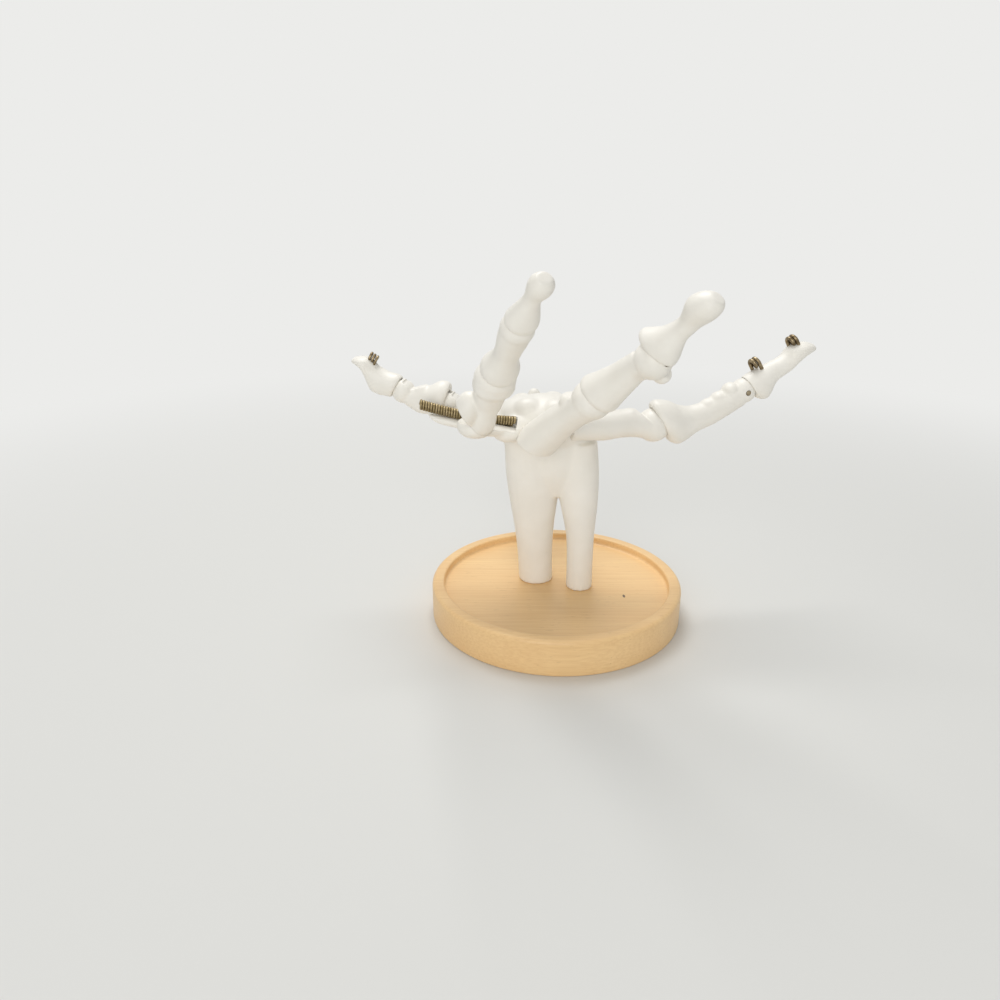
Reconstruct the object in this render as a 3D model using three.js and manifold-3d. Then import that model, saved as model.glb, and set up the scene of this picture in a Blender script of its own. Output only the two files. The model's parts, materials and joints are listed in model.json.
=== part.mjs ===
// Skeleton hand jewelry stand: a turned wooden tray carries a white plastic forearm, palm up,
// whose five hinged digits spread like an open flower, with bronze coil springs for earring hooks.
// Millimetres and degrees, +Z up, origin at the centre of the base's underside.
import * as THREE from 'three';
import { mergeVertices } from 'three/addons/utils/BufferGeometryUtils.js';
import Module from 'manifold-3d';

const wasm = await Module();
wasm.setup();

// Fits between pieces
const clearance = 0.3;

// Turned wooden base with a shallow tray
const baseDiameter = 100;
const baseHeight = 14.2;
const rimWidth = 4.8;
const trayDepth = 3.2;
const outerEdgeRound = 1.4;
const innerEdgeRound = 0.8;
const trayFillet = 1.2;
const baseSides = 40;

// Countersunk wood screws, driven from below into the two feet
const screwShankDiameter = 3.6;
const screwHeadDiameter = 7.2;
const screwHeadHeight = 2.2;
const screwHeadRecess = 0.8;
const screwReachIntoFoot = 12;
const screwTipLength = 3;

// Forearm casting: centre and half sizes of the bones' sections, levels in shares of the palm's height
const palmHeight = 65.5;
const radiusSections = [
  { level: 0, centre: [-7.8, 6.4], half: [7.0, 6.8] },
  { level: 0.14, centre: [-8.2, 6.2], half: [7.0, 6.6] },
  { level: 0.34, centre: [-8.8, 5.6], half: [7.8, 7.0] },
  { level: 0.55, centre: [-9.3, 4.8], half: [9.6, 7.6] },
  { level: 0.73, centre: [-9.6, 4.0], half: [10.8, 8.6] },
  { level: 0.92, centre: [-10.0, 4.0], half: [11.0, 9.0] },
];
const ulnaSections = [
  { level: 0, centre: [9.4, -1.3], half: [5.3, 5.3] },
  { level: 0.14, centre: [9.4, -1.0], half: [5.2, 5.2] },
  { level: 0.34, centre: [9.2, -0.4], half: [5.6, 5.6] },
  { level: 0.55, centre: [8.3, 1.0], half: [7.5, 6.6] },
  { level: 0.73, centre: [7.4, 2.6], half: [8.5, 8.0] },
  { level: 0.92, centre: [6.4, 3.4], half: [8.4, 8.4] },
];
const wristSections = [
  { level: 0.58, centre: [-1.6, 3.2], half: [8.0, 4.0] },
  { level: 0.73, centre: [-2.0, 3.4], half: [15.0, 8.2] },
  { level: 0.92, centre: [-3.4, 3.8], half: [17.0, 9.6] },
  { level: 1.04, centre: [-4.6, 4.6], half: [16.0, 9.0] },
];

// Palm, on the same casting: places over the tray's centre, heights from the palm's middle
const palmCentre = [-5, 6, 0];
const palmHalfSizes = [19.5, 14, 11.2];
const thumbMoundCentre = [-15, 6, 3.5];
const thumbMoundHalfSizes = [9, 10, 6.5];
const pisiformCentre = [-9.2, 17, 8.8];
const pisiformRadius = 3.4;
const armStart = [-5, 3, -0.5];
const armHalfHeight = 4;

// Raised collar of the palm round the index's seat, from the seat's middle
const indexCollarPlace = [-1.2, 1, 1.6];
const indexCollarHalfSizes = [7.4, 7, 3.6];

// Metacarpal pegs in the palm
const pegRadius = 1.9;
const pegLength = 4;
const pegRoot = 1;
const lobeDepth = 1.6;
const lobeInset = 0.4;

// Hinges: a slotted ball head, a cup with a tongue, and a steel pin in a blind hole
const cupHalfAngle = 46;
const cupWall = 0.7;
const rimRound = 1.2;
const tongueThickness = 2.4;
const tongueNeckWidth = 2.6;
const tongueEyeRadius = 2.5;
const tongueRoot = 1.6;
const pinRadius = 0.9;
const pinRecess = 0.5;
const pinEndWall = 1.2;

// How far a hinge swings from the straight finger, back and towards the palm, and the room before a knob
const bendBack = 30;
const bendForward = 50;
const stopAngle = 4;

// Neck and palm-side knob of a head, in shares of the head they belong to
const neckSize = 0.8;
const neckBack = 0.2;
const knobSize = 0.34;
const knobReach = 1.1;
const knobSpread = 0.72;

// Where the bones swell and narrow, in shares of each bone's length, and the tip's size under its pad
const metacarpalFlareAt = 0.3;
const metacarpalWaistAt = 0.6;
const proximalWaistAt = 0.62;
const distalWaistAt = 0.66;
const tipUnderPad = 0.75;

// Coil springs: a long fine one in the palm, and short stout ones on the tip bones
const palmStock = { diameter: 3.9, wire: 0.58, pitch: 1.0 };
const hookStock = { diameter: 3.9, wire: 0.9, pitch: 1.42 };
const leastWireGap = 0.4;
const palmSpringStart = [-17.5, -6.6, 3.8];
const palmSpringRise = 12;
const palmSpringTurns = 34.5;
const palmSpringLeg = 4;
const hookCoilLegDepth = 1.6;

// The digits: seat on the palm, heading seen from above, then each bone and joint from palm to tip.
// A joint's pin goes in from its open side, along the hinge axis. Some heads carry a knob behind them.
const digits = [
  {
    name: 'thumb',
    root: [-27, 1.5, 1.9],
    heading: 170,
    metacarpal: { length: 16, rise: 25, end: 5.0, flare: 6.6, waist: 5.4, lean: 0 },
    knuckle: { radius: 5.0, halfWidth: 5.4, openSide: -1, knob: false },
    proximal: { length: 18.7, rise: 13.6, base: 7.6, waist: 4.6, sag: 1 },
    tipJoint: { radius: 4.7, halfWidth: 4.9, openSide: -1, knob: true },
    distal: { length: 18.2, rise: 30.7, base: 5.3, waist: 4.2, sag: 1.2 },
    tuft: { half: [5.2, 4.8, 2.4], rise: 0.4 },
    coils: [{ name: 'thumb_coil', start: 15.2, turns: 2.5 }],
  },
  {
    name: 'index',
    root: [-29.3, -13, 3.5],
    heading: -70.5,
    metacarpal: { length: 26, rise: 55, end: 5.0, flare: 6.6, waist: 5.4, lean: -2.5 },
    knuckle: { radius: 6.7, halfWidth: 7.3, openSide: 1, knob: false },
    proximal: { length: 28.1, rise: 43, base: 6.4, waist: 4.9, sag: 0.5 },
    tipJoint: { radius: 5.3, halfWidth: 5.5, openSide: 1, knob: false },
    distal: { length: 20.8, rise: 40, base: 4.7, waist: 2.6, sag: 0 },
    tuft: { half: [4.0, 3.9, 3.2], rise: 0.6 },
    coils: [],
  },
  {
    name: 'middle',
    root: [-10.36, -8.8, -4.36],
    heading: -49.3,
    metacarpal: { length: 36.2, rise: 39, end: 6.2, flare: 7.6, waist: 6.4, lean: 0 },
    knuckle: { radius: 6.9, halfWidth: 7.3, openSide: 1, knob: true },
    proximal: { length: 29, rise: 34.5, base: 7.4, waist: 4.7, sag: 0.5 },
    tipJoint: { radius: 6.1, halfWidth: 6.1, openSide: 1, knob: false },
    distal: { length: 23.2, rise: 45.7, base: 5.9, waist: 3.3, sag: 0 },
    tuft: { half: [4.9, 5.2, 4.0], rise: 0.8 },
    coils: [],
  },
  {
    name: 'ring',
    root: [13.4, -4.1, 1.8],
    heading: 8.9,
    metacarpal: { length: 21.9, rise: 0, end: 5.4, flare: 6.2, waist: 5.8, lean: 0 },
    knuckle: { radius: 6.4, halfWidth: 6.4, openSide: 1, knob: true },
    proximal: { length: 36.4, rise: 19.1, base: 9.0, waist: 4.8, sag: 3 },
    tipJoint: { radius: 4.7, halfWidth: 5.0, openSide: -1, knob: true },
    distal: { length: 26.3, rise: 31.2, base: 6.0, waist: 3.6, sag: 0 },
    tuft: { half: [5.0, 4.6, 3.2], rise: 0.9 },
    coils: [
      { name: 'ring_middle_coil', start: 6.8, turns: 1.5 },
      { name: 'ring_tip_coil', start: 22.8, turns: 1.5 },
    ],
  },
  {
    name: 'little',
    root: [-8, 14, 0],
    heading: 92,
    metacarpal: { length: 20, rise: -2, end: 4.8, flare: 5.4, waist: 4.2, lean: 0 },
    knuckle: { radius: 5.4, halfWidth: 5.6, openSide: 1, knob: false },
    proximal: { length: 22, rise: -18, base: 5.4, waist: 3.5, sag: 0.5 },
    tipJoint: { radius: 4.3, halfWidth: 4.5, openSide: 1, knob: false },
    distal: { length: 18, rise: -22, base: 4.3, waist: 2.7, sag: 0 },
    tuft: { half: [3.8, 3.7, 2.9], rise: 0.6 },
    coils: [],
  },
];

// Fineness of the round forms
const boneSides = 12;
const boneSteps = 6;
const limbSides = 14;
const limbSteps = 7;
const palmFacets = [16, 10];
const headFacets = [16, 8];
const padFacets = [12, 7];
const knobFacets = [10, 5];
const boreSides = 8;
const screwSides = 12;
const wireSides = 5;
const wireStepsPerTurn = 8;
const eyeArcSteps = 4;
const edgeArcSteps = 2;
const weldDistance = 1e-4;

const beechWood = { color: 0xd9ad7c, roughness: 0.6, metalness: 0 };
const whitePlastic = { color: 0xf3f1ea, roughness: 0.5, metalness: 0 };
const pinSteel = { color: 0x8d8a84, roughness: 0.35, metalness: 1 };
const screwSteel = { color: 0xb9bcc0, roughness: 0.35, metalness: 1 };
const agedBronze = { color: 0x8a6f42, roughness: 0.4, metalness: 1 };

const alongX = new THREE.Vector3(1, 0, 0);
const alongY = new THREE.Vector3(0, 1, 0);
const alongZ = new THREE.Vector3(0, 0, 1);
const radians = THREE.MathUtils.degToRad;
const trayFloor = baseHeight - trayDepth;
const palmLevel = trayFloor + palmHeight;

function onPalm([x, y, z]) {
  return [x, y, palmLevel + z];
}

// A closed geometry as a solid that can be joined and cut
function solid(geometry) {
  const bare = geometry.clone();
  bare.deleteAttribute('normal');
  bare.deleteAttribute('uv');
  const skin = mergeVertices(bare, weldDistance);
  const corners = skin.index.array;
  const triangles = [];
  for (let k = 0; k < corners.length; k += 3) {
    const [a, b, c] = corners.slice(k, k + 3);
    if (a !== b && b !== c && c !== a) {
      triangles.push(a, b, c);
    }
  }
  const vertProperties = new Float32Array(skin.attributes.position.array);
  const triVerts = new Uint32Array(triangles);
  return new wasm.Manifold(new wasm.Mesh({ numProp: 3, vertProperties, triVerts }));
}

function joined(solids) {
  return solids.reduce((whole, next) => whole.add(next));
}

function cut(body, tools) {
  return tools.reduce((left, tool) => left.subtract(tool), body);
}

// A solid as a named mesh with its own finish
function piece(name, finish, body) {
  const { vertProperties, triVerts } = body.getMesh();
  const geometry = new THREE.BufferGeometry();
  geometry.setAttribute('position', new THREE.BufferAttribute(vertProperties, 3));
  geometry.setIndex(new THREE.BufferAttribute(triVerts, 1));
  geometry.computeVertexNormals();
  const mesh = new THREE.Mesh(geometry, new THREE.MeshStandardMaterial(finish));
  mesh.name = name;
  return mesh;
}

// One closed skin over a row of equal rings, with flat ends
function skinOver(rings) {
  const sides = rings[0].length;
  const last = (rings.length - 1) * sides;
  const faces = [];
  for (let start = 0; start < last; start += sides) {
    for (let s = 0; s < sides; s += 1) {
      const a = start + s;
      const b = start + (s + 1) % sides;
      faces.push(a, b, b + sides, a, b + sides, a + sides);
    }
  }
  for (let s = 1; s + 1 < sides; s += 1) {
    faces.push(0, s + 1, s);
    faces.push(last, last + s, last + s + 1);
  }
  const geometry = new THREE.BufferGeometry().setFromPoints(rings.flat());
  geometry.setIndex(faces);
  return geometry;
}

function ringAt(centre, sideways, upward, halfWidth, halfHeight, sides) {
  const ring = [];
  for (let s = 0; s < sides; s += 1) {
    const angle = (2 * Math.PI * s) / sides;
    const point = centre.clone();
    point.addScaledVector(sideways, halfWidth * Math.cos(angle));
    point.addScaledVector(upward, halfHeight * Math.sin(angle));
    ring.push(point);
  }
  return ring;
}

// A smooth limb through elliptical stations, each with its centre and its two half sizes
function loft(stations, sideways, upward, steps, sides) {
  const spine = new THREE.CatmullRomCurve3(stations.map(({ at }) => new THREE.Vector3(...at)));
  const girth = new THREE.CatmullRomCurve3(stations.map(({ half }) => new THREE.Vector3(...half, 0)));
  const rings = [];
  for (let k = 0; k <= steps; k += 1) {
    const half = girth.getPoint(k / steps);
    rings.push(ringAt(spine.getPoint(k / steps), sideways, upward, half.x, half.y, sides));
  }
  return solid(skinOver(rings));
}

function ball(centre, half, [around, down]) {
  const geometry = new THREE.SphereGeometry(1, around, down);
  return solid(geometry.scale(...half).translate(...centre));
}

// A round bar along the hinge axis, which is the bone's own Y, between two places on it
function crossBar(radius, from, to, sides) {
  const bar = new THREE.CylinderGeometry(radius, radius, Math.abs(to - from), sides);
  return solid(bar.translate(0, (from + to) / 2, 0));
}

// A flat shape drawn in the bone's bending plane, given its thickness across the bone
function slab(shape, thickness) {
  const options = { depth: thickness, bevelEnabled: false, curveSegments: eyeArcSteps };
  const geometry = new THREE.ExtrudeGeometry(shape, options);
  return solid(geometry.rotateX(Math.PI / 2).translate(0, thickness / 2, 0));
}

function turned(outline, sides) {
  const profile = outline.getPoints(edgeArcSteps);
  return solid(new THREE.LatheGeometry(profile, sides).rotateX(Math.PI / 2));
}

// Hinge forms, drawn about a joint at the origin with the child bone along +X

// Room in the parent's head for the tongue's eye and, well past the head, for its neck's whole swing
function tongueSlot(joint) {
  const halfNeck = tongueNeckWidth / 2 + clearance;
  const reach = 2 * joint.radius;
  const swing = [-radians(bendBack), radians(bendForward)];
  const [backX, backZ] = [Math.cos(swing[0]), Math.sin(swing[0])];
  const [foreX, foreZ] = [Math.cos(swing[1]), Math.sin(swing[1])];
  const fan = new THREE.Shape();
  fan.moveTo(halfNeck * backZ, -halfNeck * backX);
  fan.lineTo(halfNeck * backZ + reach * backX, -halfNeck * backX + reach * backZ);
  fan.lineTo(-halfNeck * foreZ + reach * foreX, halfNeck * foreX + reach * foreZ);
  fan.lineTo(-halfNeck * foreZ, halfNeck * foreX);
  const halfSlot = tongueThickness / 2 + clearance;
  const eyeRoom = crossBar(tongueEyeRadius + clearance, -halfSlot, halfSlot, 2 * boreSides);
  return slab(fan, 2 * halfSlot).add(eyeRoom);
}

// The child's tongue: an eye round the pin and a neck that runs into the bone
function tongue(joint) {
  const halfNeck = tongueNeckWidth / 2;
  const neckAngle = Math.asin(halfNeck / tongueEyeRadius);
  const rootEnd = joint.radius + clearance + tongueRoot;
  const outline = new THREE.Shape();
  outline.moveTo(rootEnd, -halfNeck);
  outline.lineTo(rootEnd, halfNeck);
  outline.absarc(0, 0, tongueEyeRadius, neckAngle, 2 * Math.PI - neckAngle, false);
  return cut(slab(outline, tongueThickness), [pinHole(joint)]);
}

function pinHole({ halfWidth, openSide }) {
  const blindEnd = openSide * (pinEndWall - halfWidth);
  return crossBar(pinRadius + clearance, blindEnd, openSide * 2 * halfWidth, boreSides);
}

function hingePin({ halfWidth, openSide }) {
  const blindEnd = openSide * (pinEndWall + clearance - halfWidth);
  return crossBar(pinRadius, blindEnd, openSide * (halfWidth - pinRecess), boreSides);
}

function cupHollow(joint) {
  const half = [joint.radius, joint.halfWidth, joint.radius].map((size) => size + clearance);
  return ball([0, 0, 0], half, headFacets);
}

// The cup's rim and the swelling behind it, where a child bone starts
function cupStations(joint, base) {
  const angle = radians(cupHalfAngle);
  const rimAt = (joint.radius + clearance) * Math.cos(angle);
  const mouths = [joint.halfWidth, joint.radius].map((size) => (size + clearance) * Math.sin(angle));
  const rim = mouths.map((mouth) => Math.max(mouth + cupWall, base - rimRound));
  return [
    { at: [rimAt, 0, 0], half: rim },
    { at: [rimAt + rimRound, 0, 0], half: rim.map((size) => Math.max(size, base)) },
  ];
}

// How far round the pin, from the child's own axis, its rim reaches
function rimAngle(joint, base) {
  return Math.max(...cupStations(joint, base).map(({ at, half }) => Math.atan2(half[1], at[0])));
}

// The ball head at a parent bone's far end, with its palm-side knob where it has one
function headForms(joint, length, childBase) {
  const { radius, halfWidth, knob } = joint;
  const head = ball([length, 0, 0], [radius, halfWidth, radius], headFacets);
  if (!knob) {
    return [head];
  }
  const knobHalfAngle = Math.asin(knobSize / knobReach);
  const angle = radians(bendForward + stopAngle) + rimAngle(joint, childBase) + knobHalfAngle;
  const [back, up] = [Math.cos(angle), Math.sin(angle)].map((share) => share * knobReach * radius);
  const knobHalf = [knobSize * radius, knobSpread * halfWidth, knobSize * radius];
  return [head, ball([length + back, 0, up], knobHalf, knobFacets)];
}

function headCuts(joint, length) {
  const place = [length, 0, 0];
  return [tongueSlot(joint).translate(place), pinHole(joint).translate(place)];
}

function neckStation({ radius, halfWidth }, length) {
  return { at: [length - neckBack * radius, 0, 0], half: [neckSize * halfWidth, neckSize * radius] };
}

// The outer form of a metacarpal without its head, grown where a seat is cut for it
function metacarpalShaft({ metacarpal, knuckle }, grow) {
  const { length, end, flare, waist, lean } = metacarpal;
  const stations = [
    { at: [-grow, 0, 0], half: [end, end] },
    { at: [metacarpalFlareAt * length, lean, 0], half: [flare, flare] },
    { at: [metacarpalWaistAt * length, 0, 0], half: [waist, waist] },
    neckStation(knuckle, length),
  ];
  const grown = stations.map(({ at, half }) => ({ at, half: half.map((size) => size + grow) }));
  return loft(grown, alongY, alongZ, boneSteps, boneSides);
}

// A round peg on the bone's own axis, from just inside the bone down into the palm
function peg(radius, depth, overlap) {
  const geometry = new THREE.CylinderGeometry(radius, radius, depth + overlap, boreSides);
  return solid(geometry.rotateZ(Math.PI / 2).translate((overlap - depth) / 2, 0, 0));
}

function metacarpalBone(digit) {
  const { metacarpal: { length }, knuckle, proximal } = digit;
  const shaft = metacarpalShaft(digit, 0).add(peg(pegRadius, pegLength, pegRoot));
  return cut(joined([shaft, ...headForms(knuckle, length, proximal.base)]), headCuts(knuckle, length));
}

function proximalBone({ proximal, knuckle, tipJoint, distal }) {
  const { length, base, waist, sag } = proximal;
  const stations = [
    ...cupStations(knuckle, base),
    { at: [proximalWaistAt * length, 0, -sag], half: [waist, waist] },
    neckStation(tipJoint, length),
  ];
  const shaft = loft(stations, alongY, alongZ, boneSteps, boneSides);
  const root = cut(shaft, [cupHollow(knuckle)]).add(tongue(knuckle));
  return cut(joined([root, ...headForms(tipJoint, length, distal.base)]), headCuts(tipJoint, length));
}

function distalBone({ distal, tipJoint, tuft }) {
  const { length, base, waist, sag } = distal;
  const [, tuftWidth, tuftHeight] = tuft.half;
  const stations = [
    ...cupStations(tipJoint, base),
    { at: [distalWaistAt * length, 0, -sag], half: [waist, waist] },
    { at: [length, 0, tuft.rise], half: [tipUnderPad * tuftWidth, tipUnderPad * tuftHeight] },
  ];
  const shaft = loft(stations, alongY, alongZ, boneSteps, boneSides);
  const pad = ball([length, 0, tuft.rise], tuft.half, padFacets);
  return joined([cut(shaft, [cupHollow(tipJoint)]), tongue(tipJoint), pad]);
}

// Coil springs

// Radius of the wire's centre line round the coil's axis
function coilRadius({ diameter, wire }) {
  return (diameter - wire) / 2;
}

// The wire's centre line and its outward direction: a leg, the turns, and a second leg
function wirePath(stock, turns, firstLeg, lastLeg) {
  const { wire, pitch } = stock;
  const radius = coilRadius(stock);
  const path = [];
  const add = (x, angle, drop) => {
    const outward = new THREE.Vector3(0, Math.cos(angle), Math.sin(angle));
    const point = new THREE.Vector3(x, 0, -drop).addScaledVector(outward, radius);
    const slope = drop > 0 ? 0 : pitch / (2 * Math.PI);
    const heading = new THREE.Vector3(slope, -Math.sin(angle) * radius, Math.cos(angle) * radius);
    path.push({ point, outward, heading: heading.normalize() });
  };
  const steps = Math.round(turns * wireStepsPerTurn);
  for (let drop = firstLeg; drop > 0; drop -= wire) {
    add(0, 0, drop);
  }
  for (let k = 0; k <= steps; k += 1) {
    const turn = k / wireStepsPerTurn;
    add(turn * pitch, 2 * Math.PI * turn, 0);
  }
  for (let drop = lastLeg % wire || wire; drop <= lastLeg; drop += wire) {
    add(turns * pitch, 2 * Math.PI * turns, drop);
  }
  return path;
}

function leastGap(path, wire) {
  let least = Infinity;
  const farApart = wireStepsPerTurn / 2;
  for (let i = 0; i < path.length; i += 1) {
    for (let j = i + farApart; j < path.length; j += 1) {
      least = Math.min(least, path[i].point.distanceTo(path[j].point) - wire);
    }
  }
  return least;
}

function coilSpring(name, stock, turns, firstLeg, lastLeg) {
  const path = wirePath(stock, turns, firstLeg, lastLeg);
  const gap = leastGap(path, stock.wire);
  console.log(`${name}: least gap between turns ${gap.toFixed(2)} mm, wanted over ${leastWireGap} mm`);
  const rings = path.map(({ point, outward, heading }) => {
    const across = heading.clone().cross(outward);
    return ringAt(point, outward, across, stock.wire / 2, stock.wire / 2, wireSides);
  });
  return solid(skinOver(rings));
}

// A hole for a coil's leg, from its top down
function legHole(stock, x, y, top, depth) {
  const radius = stock.wire / 2 + clearance;
  const geometry = new THREE.CylinderGeometry(radius, radius, depth, boreSides);
  return solid(geometry.rotateX(Math.PI / 2).translate(x, y, top - depth / 2));
}

// Where a short coil stands on the palm side of a tip bone: its end, the height of its axis, its legs
function coilSeat(bone, { start, turns }) {
  const { diameter, wire, pitch } = hookStock;
  const length = turns * pitch;
  const column = new THREE.BoxGeometry(length + wire, diameter, 2 * bone.boundingBox().max[2]);
  const top = solid(column.translate(start + length / 2, 0, 0)).intersect(bone).boundingBox().max[2];
  const axisHeight = top + clearance + diameter / 2;
  return { end: start + length, axisHeight, leg: axisHeight - top + hookCoilLegDepth };
}

function coilLegHoles({ start }, { end, axisHeight, leg }) {
  const radius = coilRadius(hookStock);
  const depth = leg + clearance;
  return [
    legHole(hookStock, start, radius, axisHeight, depth),
    legHole(hookStock, end, -radius, axisHeight, depth),
  ];
}

const stand = new THREE.Group();

// Base disc
function baseOutline() {
  const quarter = Math.PI / 2;
  const inner = baseDiameter / 2 - rimWidth;
  const outerRoundAt = baseDiameter / 2 - outerEdgeRound;
  const innerRoundAt = inner + innerEdgeRound;
  const outline = new THREE.Path();
  outline.moveTo(0, 0);
  outline.lineTo(outerRoundAt, 0);
  outline.absarc(outerRoundAt, outerEdgeRound, outerEdgeRound, -quarter, 0, false);
  outline.absarc(outerRoundAt, baseHeight - outerEdgeRound, outerEdgeRound, 0, quarter, false);
  outline.absarc(innerRoundAt, baseHeight - innerEdgeRound, innerEdgeRound, quarter, 2 * quarter, false);
  outline.absarc(inner - trayFillet, trayFloor + trayFillet, trayFillet, 0, -quarter, true);
  outline.lineTo(0, trayFloor);
  return outline;
}

function screwOutline(grow) {
  const head = screwHeadDiameter / 2 + grow;
  const shank = screwShankDiameter / 2 + grow;
  const tip = trayFloor + screwReachIntoFoot;
  const outline = new THREE.Path();
  outline.moveTo(0, screwHeadRecess);
  outline.lineTo(head, screwHeadRecess);
  outline.lineTo(shank, screwHeadRecess + screwHeadHeight);
  outline.lineTo(shank, tip - screwTipLength);
  outline.lineTo(0, tip + grow);
  return outline;
}

// Through hole with its countersink, open at the underside
function screwHole() {
  const mouth = new THREE.CylinderGeometry(1, 1, 2 * screwHeadRecess, screwSides);
  const radius = screwHeadDiameter / 2 + clearance;
  mouth.rotateX(Math.PI / 2).scale(radius, radius, 1);
  return turned(screwOutline(clearance), screwSides).add(solid(mouth));
}

// One screw under the middle of each foot
const feet = { radius_screw: radiusSections[0].centre, ulna_screw: ulnaSections[0].centre };
const screwHoles = Object.values(feet).map(([x, y]) => screwHole().translate([x, y, 0]));
stand.add(piece('base_disc', beechWood, cut(turned(baseOutline(), baseSides), screwHoles)));
for (const [name, [x, y]] of Object.entries(feet)) {
  const screw = piece(name, screwSteel, turned(screwOutline(0), screwSides));
  screw.position.set(x, y, 0);
  stand.add(screw);
}

// A group whose X runs along a bone: turned to the heading, then raised
function boneFrame(position, heading, rise) {
  const frame = new THREE.Group();
  frame.position.set(...position);
  frame.rotation.set(0, -radians(rise), radians(heading), 'ZYX');
  return frame;
}

// Forearm casting: radius, ulna and wrist run together into the palm, with an arm to each seat
function limb(sections) {
  const stations = sections.map(({ level, centre: [x, y], half }) => {
    return { at: [x, y, trayFloor + level * palmHeight], half };
  });
  return loft(stations, alongX, alongY, limbSteps, limbSides);
}

function palmArm(digit, seatFrame) {
  const halfWidth = digit.metacarpal.end - lobeInset;
  const half = [halfWidth, armHalfHeight];
  const start = onPalm(armStart);
  const lobe = new THREE.Vector3(-lobeDepth, 0, 0).applyMatrix4(seatFrame.matrixWorld);
  const forward = lobe.clone().sub(new THREE.Vector3(...start)).normalize();
  const sideways = alongZ.clone().cross(forward).normalize();
  const upward = forward.clone().cross(sideways);
  const bar = loft([{ at: start, half }, { at: lobe.toArray(), half }], sideways, upward, 1, boneSides);
  return bar.add(ball(lobe.toArray(), [halfWidth, halfWidth, armHalfHeight], knobFacets));
}

const springFrame = boneFrame(onPalm(palmSpringStart), 180, palmSpringRise);
springFrame.updateMatrixWorld();

// Groove along the palm spring, and the hole for its leg
function springSeat() {
  const { diameter, wire, pitch } = palmStock;
  const radius = diameter / 2 + clearance;
  const wound = palmSpringTurns * pitch;
  const groove = new THREE.CylinderGeometry(radius, radius, wound + wire + 2 * clearance, boneSides);
  groove.rotateZ(Math.PI / 2).translate(wound / 2, 0, 0);
  const leg = legHole(palmStock, 0, coilRadius(palmStock), 0, palmSpringLeg + clearance);
  return solid(groove).add(leg).transform(springFrame.matrixWorld.elements);
}

const seats = digits.map((digit) => {
  const frame = boneFrame(onPalm(digit.root), digit.heading, digit.metacarpal.rise);
  frame.updateMatrixWorld();
  return frame;
});

function forearmCasting() {
  const forms = [radiusSections, ulnaSections, wristSections].map(limb);
  forms.push(ball(onPalm(palmCentre), palmHalfSizes, palmFacets));
  forms.push(ball(onPalm(thumbMoundCentre), thumbMoundHalfSizes, knobFacets));
  forms.push(ball(onPalm(pisiformCentre), Array(3).fill(pisiformRadius), knobFacets));
  const [index] = digits.filter(({ name }) => name === 'index');
  const collarCentre = index.root.map((place, axis) => place + indexCollarPlace[axis]);
  forms.push(ball(onPalm(collarCentre), indexCollarHalfSizes, knobFacets));
  const tools = [...screwHoles, springSeat()];
  digits.forEach((digit, k) => {
    const world = seats[k].matrixWorld.elements;
    forms.push(palmArm(digit, seats[k]));
    tools.push(metacarpalShaft(digit, clearance).transform(world));
    tools.push(peg(pegRadius + clearance, pegLength + clearance, clearance).transform(world));
  });
  return cut(joined(forms), tools);
}

stand.add(piece('forearm', whitePlastic, forearmCasting()));
const palmSpring = coilSpring('palm_spring', palmStock, palmSpringTurns, palmSpringLeg, palmStock.wire);
springFrame.add(piece('palm_spring', agedBronze, palmSpring));
stand.add(springFrame);

// Digits: each bone's group sits in its parent's group, at the joint
digits.forEach((digit, k) => {
  const { name, metacarpal, knuckle, proximal, tipJoint, distal } = digit;
  const seat = seats[k];
  const knuckleFrame = boneFrame([metacarpal.length, 0, 0], 0, proximal.rise - metacarpal.rise);
  const tipFrame = boneFrame([proximal.length, 0, 0], 0, distal.rise - proximal.rise);
  knuckleFrame.name = `${name}_knuckle`;
  tipFrame.name = `${name}_tip_joint`;
  seat.add(piece(`${name}_metacarpal`, whitePlastic, metacarpalBone(digit)), knuckleFrame);
  knuckleFrame.add(piece(`${name}_knuckle_pin`, pinSteel, hingePin(knuckle)));
  knuckleFrame.add(piece(`${name}_proximal`, whitePlastic, proximalBone(digit)), tipFrame);
  tipFrame.add(piece(`${name}_tip_pin`, pinSteel, hingePin(tipJoint)));
  const bone = distalBone(digit);
  const legHoles = [];
  for (const coil of digit.coils) {
    const place = coilSeat(bone, coil);
    legHoles.push(...coilLegHoles(coil, place));
    const spring = coilSpring(coil.name, hookStock, coil.turns, place.leg, place.leg);
    const mesh = piece(coil.name, agedBronze, spring);
    mesh.position.set(coil.start, 0, place.axisHeight);
    tipFrame.add(mesh);
  }
  tipFrame.add(piece(`${name}_distal`, whitePlastic, cut(bone, legHoles)));
  stand.add(seat);
});

export default stand;
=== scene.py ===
# %% [markdown]
# # A skeleton hand jewelry stand
# A pale wooden disc with a shallow tray carries two white forearm bones, which run together into a
# palm. Five jointed digits spread from the palm like an open flower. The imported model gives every
# piece's place and every hinge, and this lesson dresses those pieces: bones with soft flares and
# lips, turned wood, wound wire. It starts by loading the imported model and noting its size.

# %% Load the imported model
import json
from math import cos, pi, radians, sin

import bmesh
import bpy
from mathutils import Matrix, Vector

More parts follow.
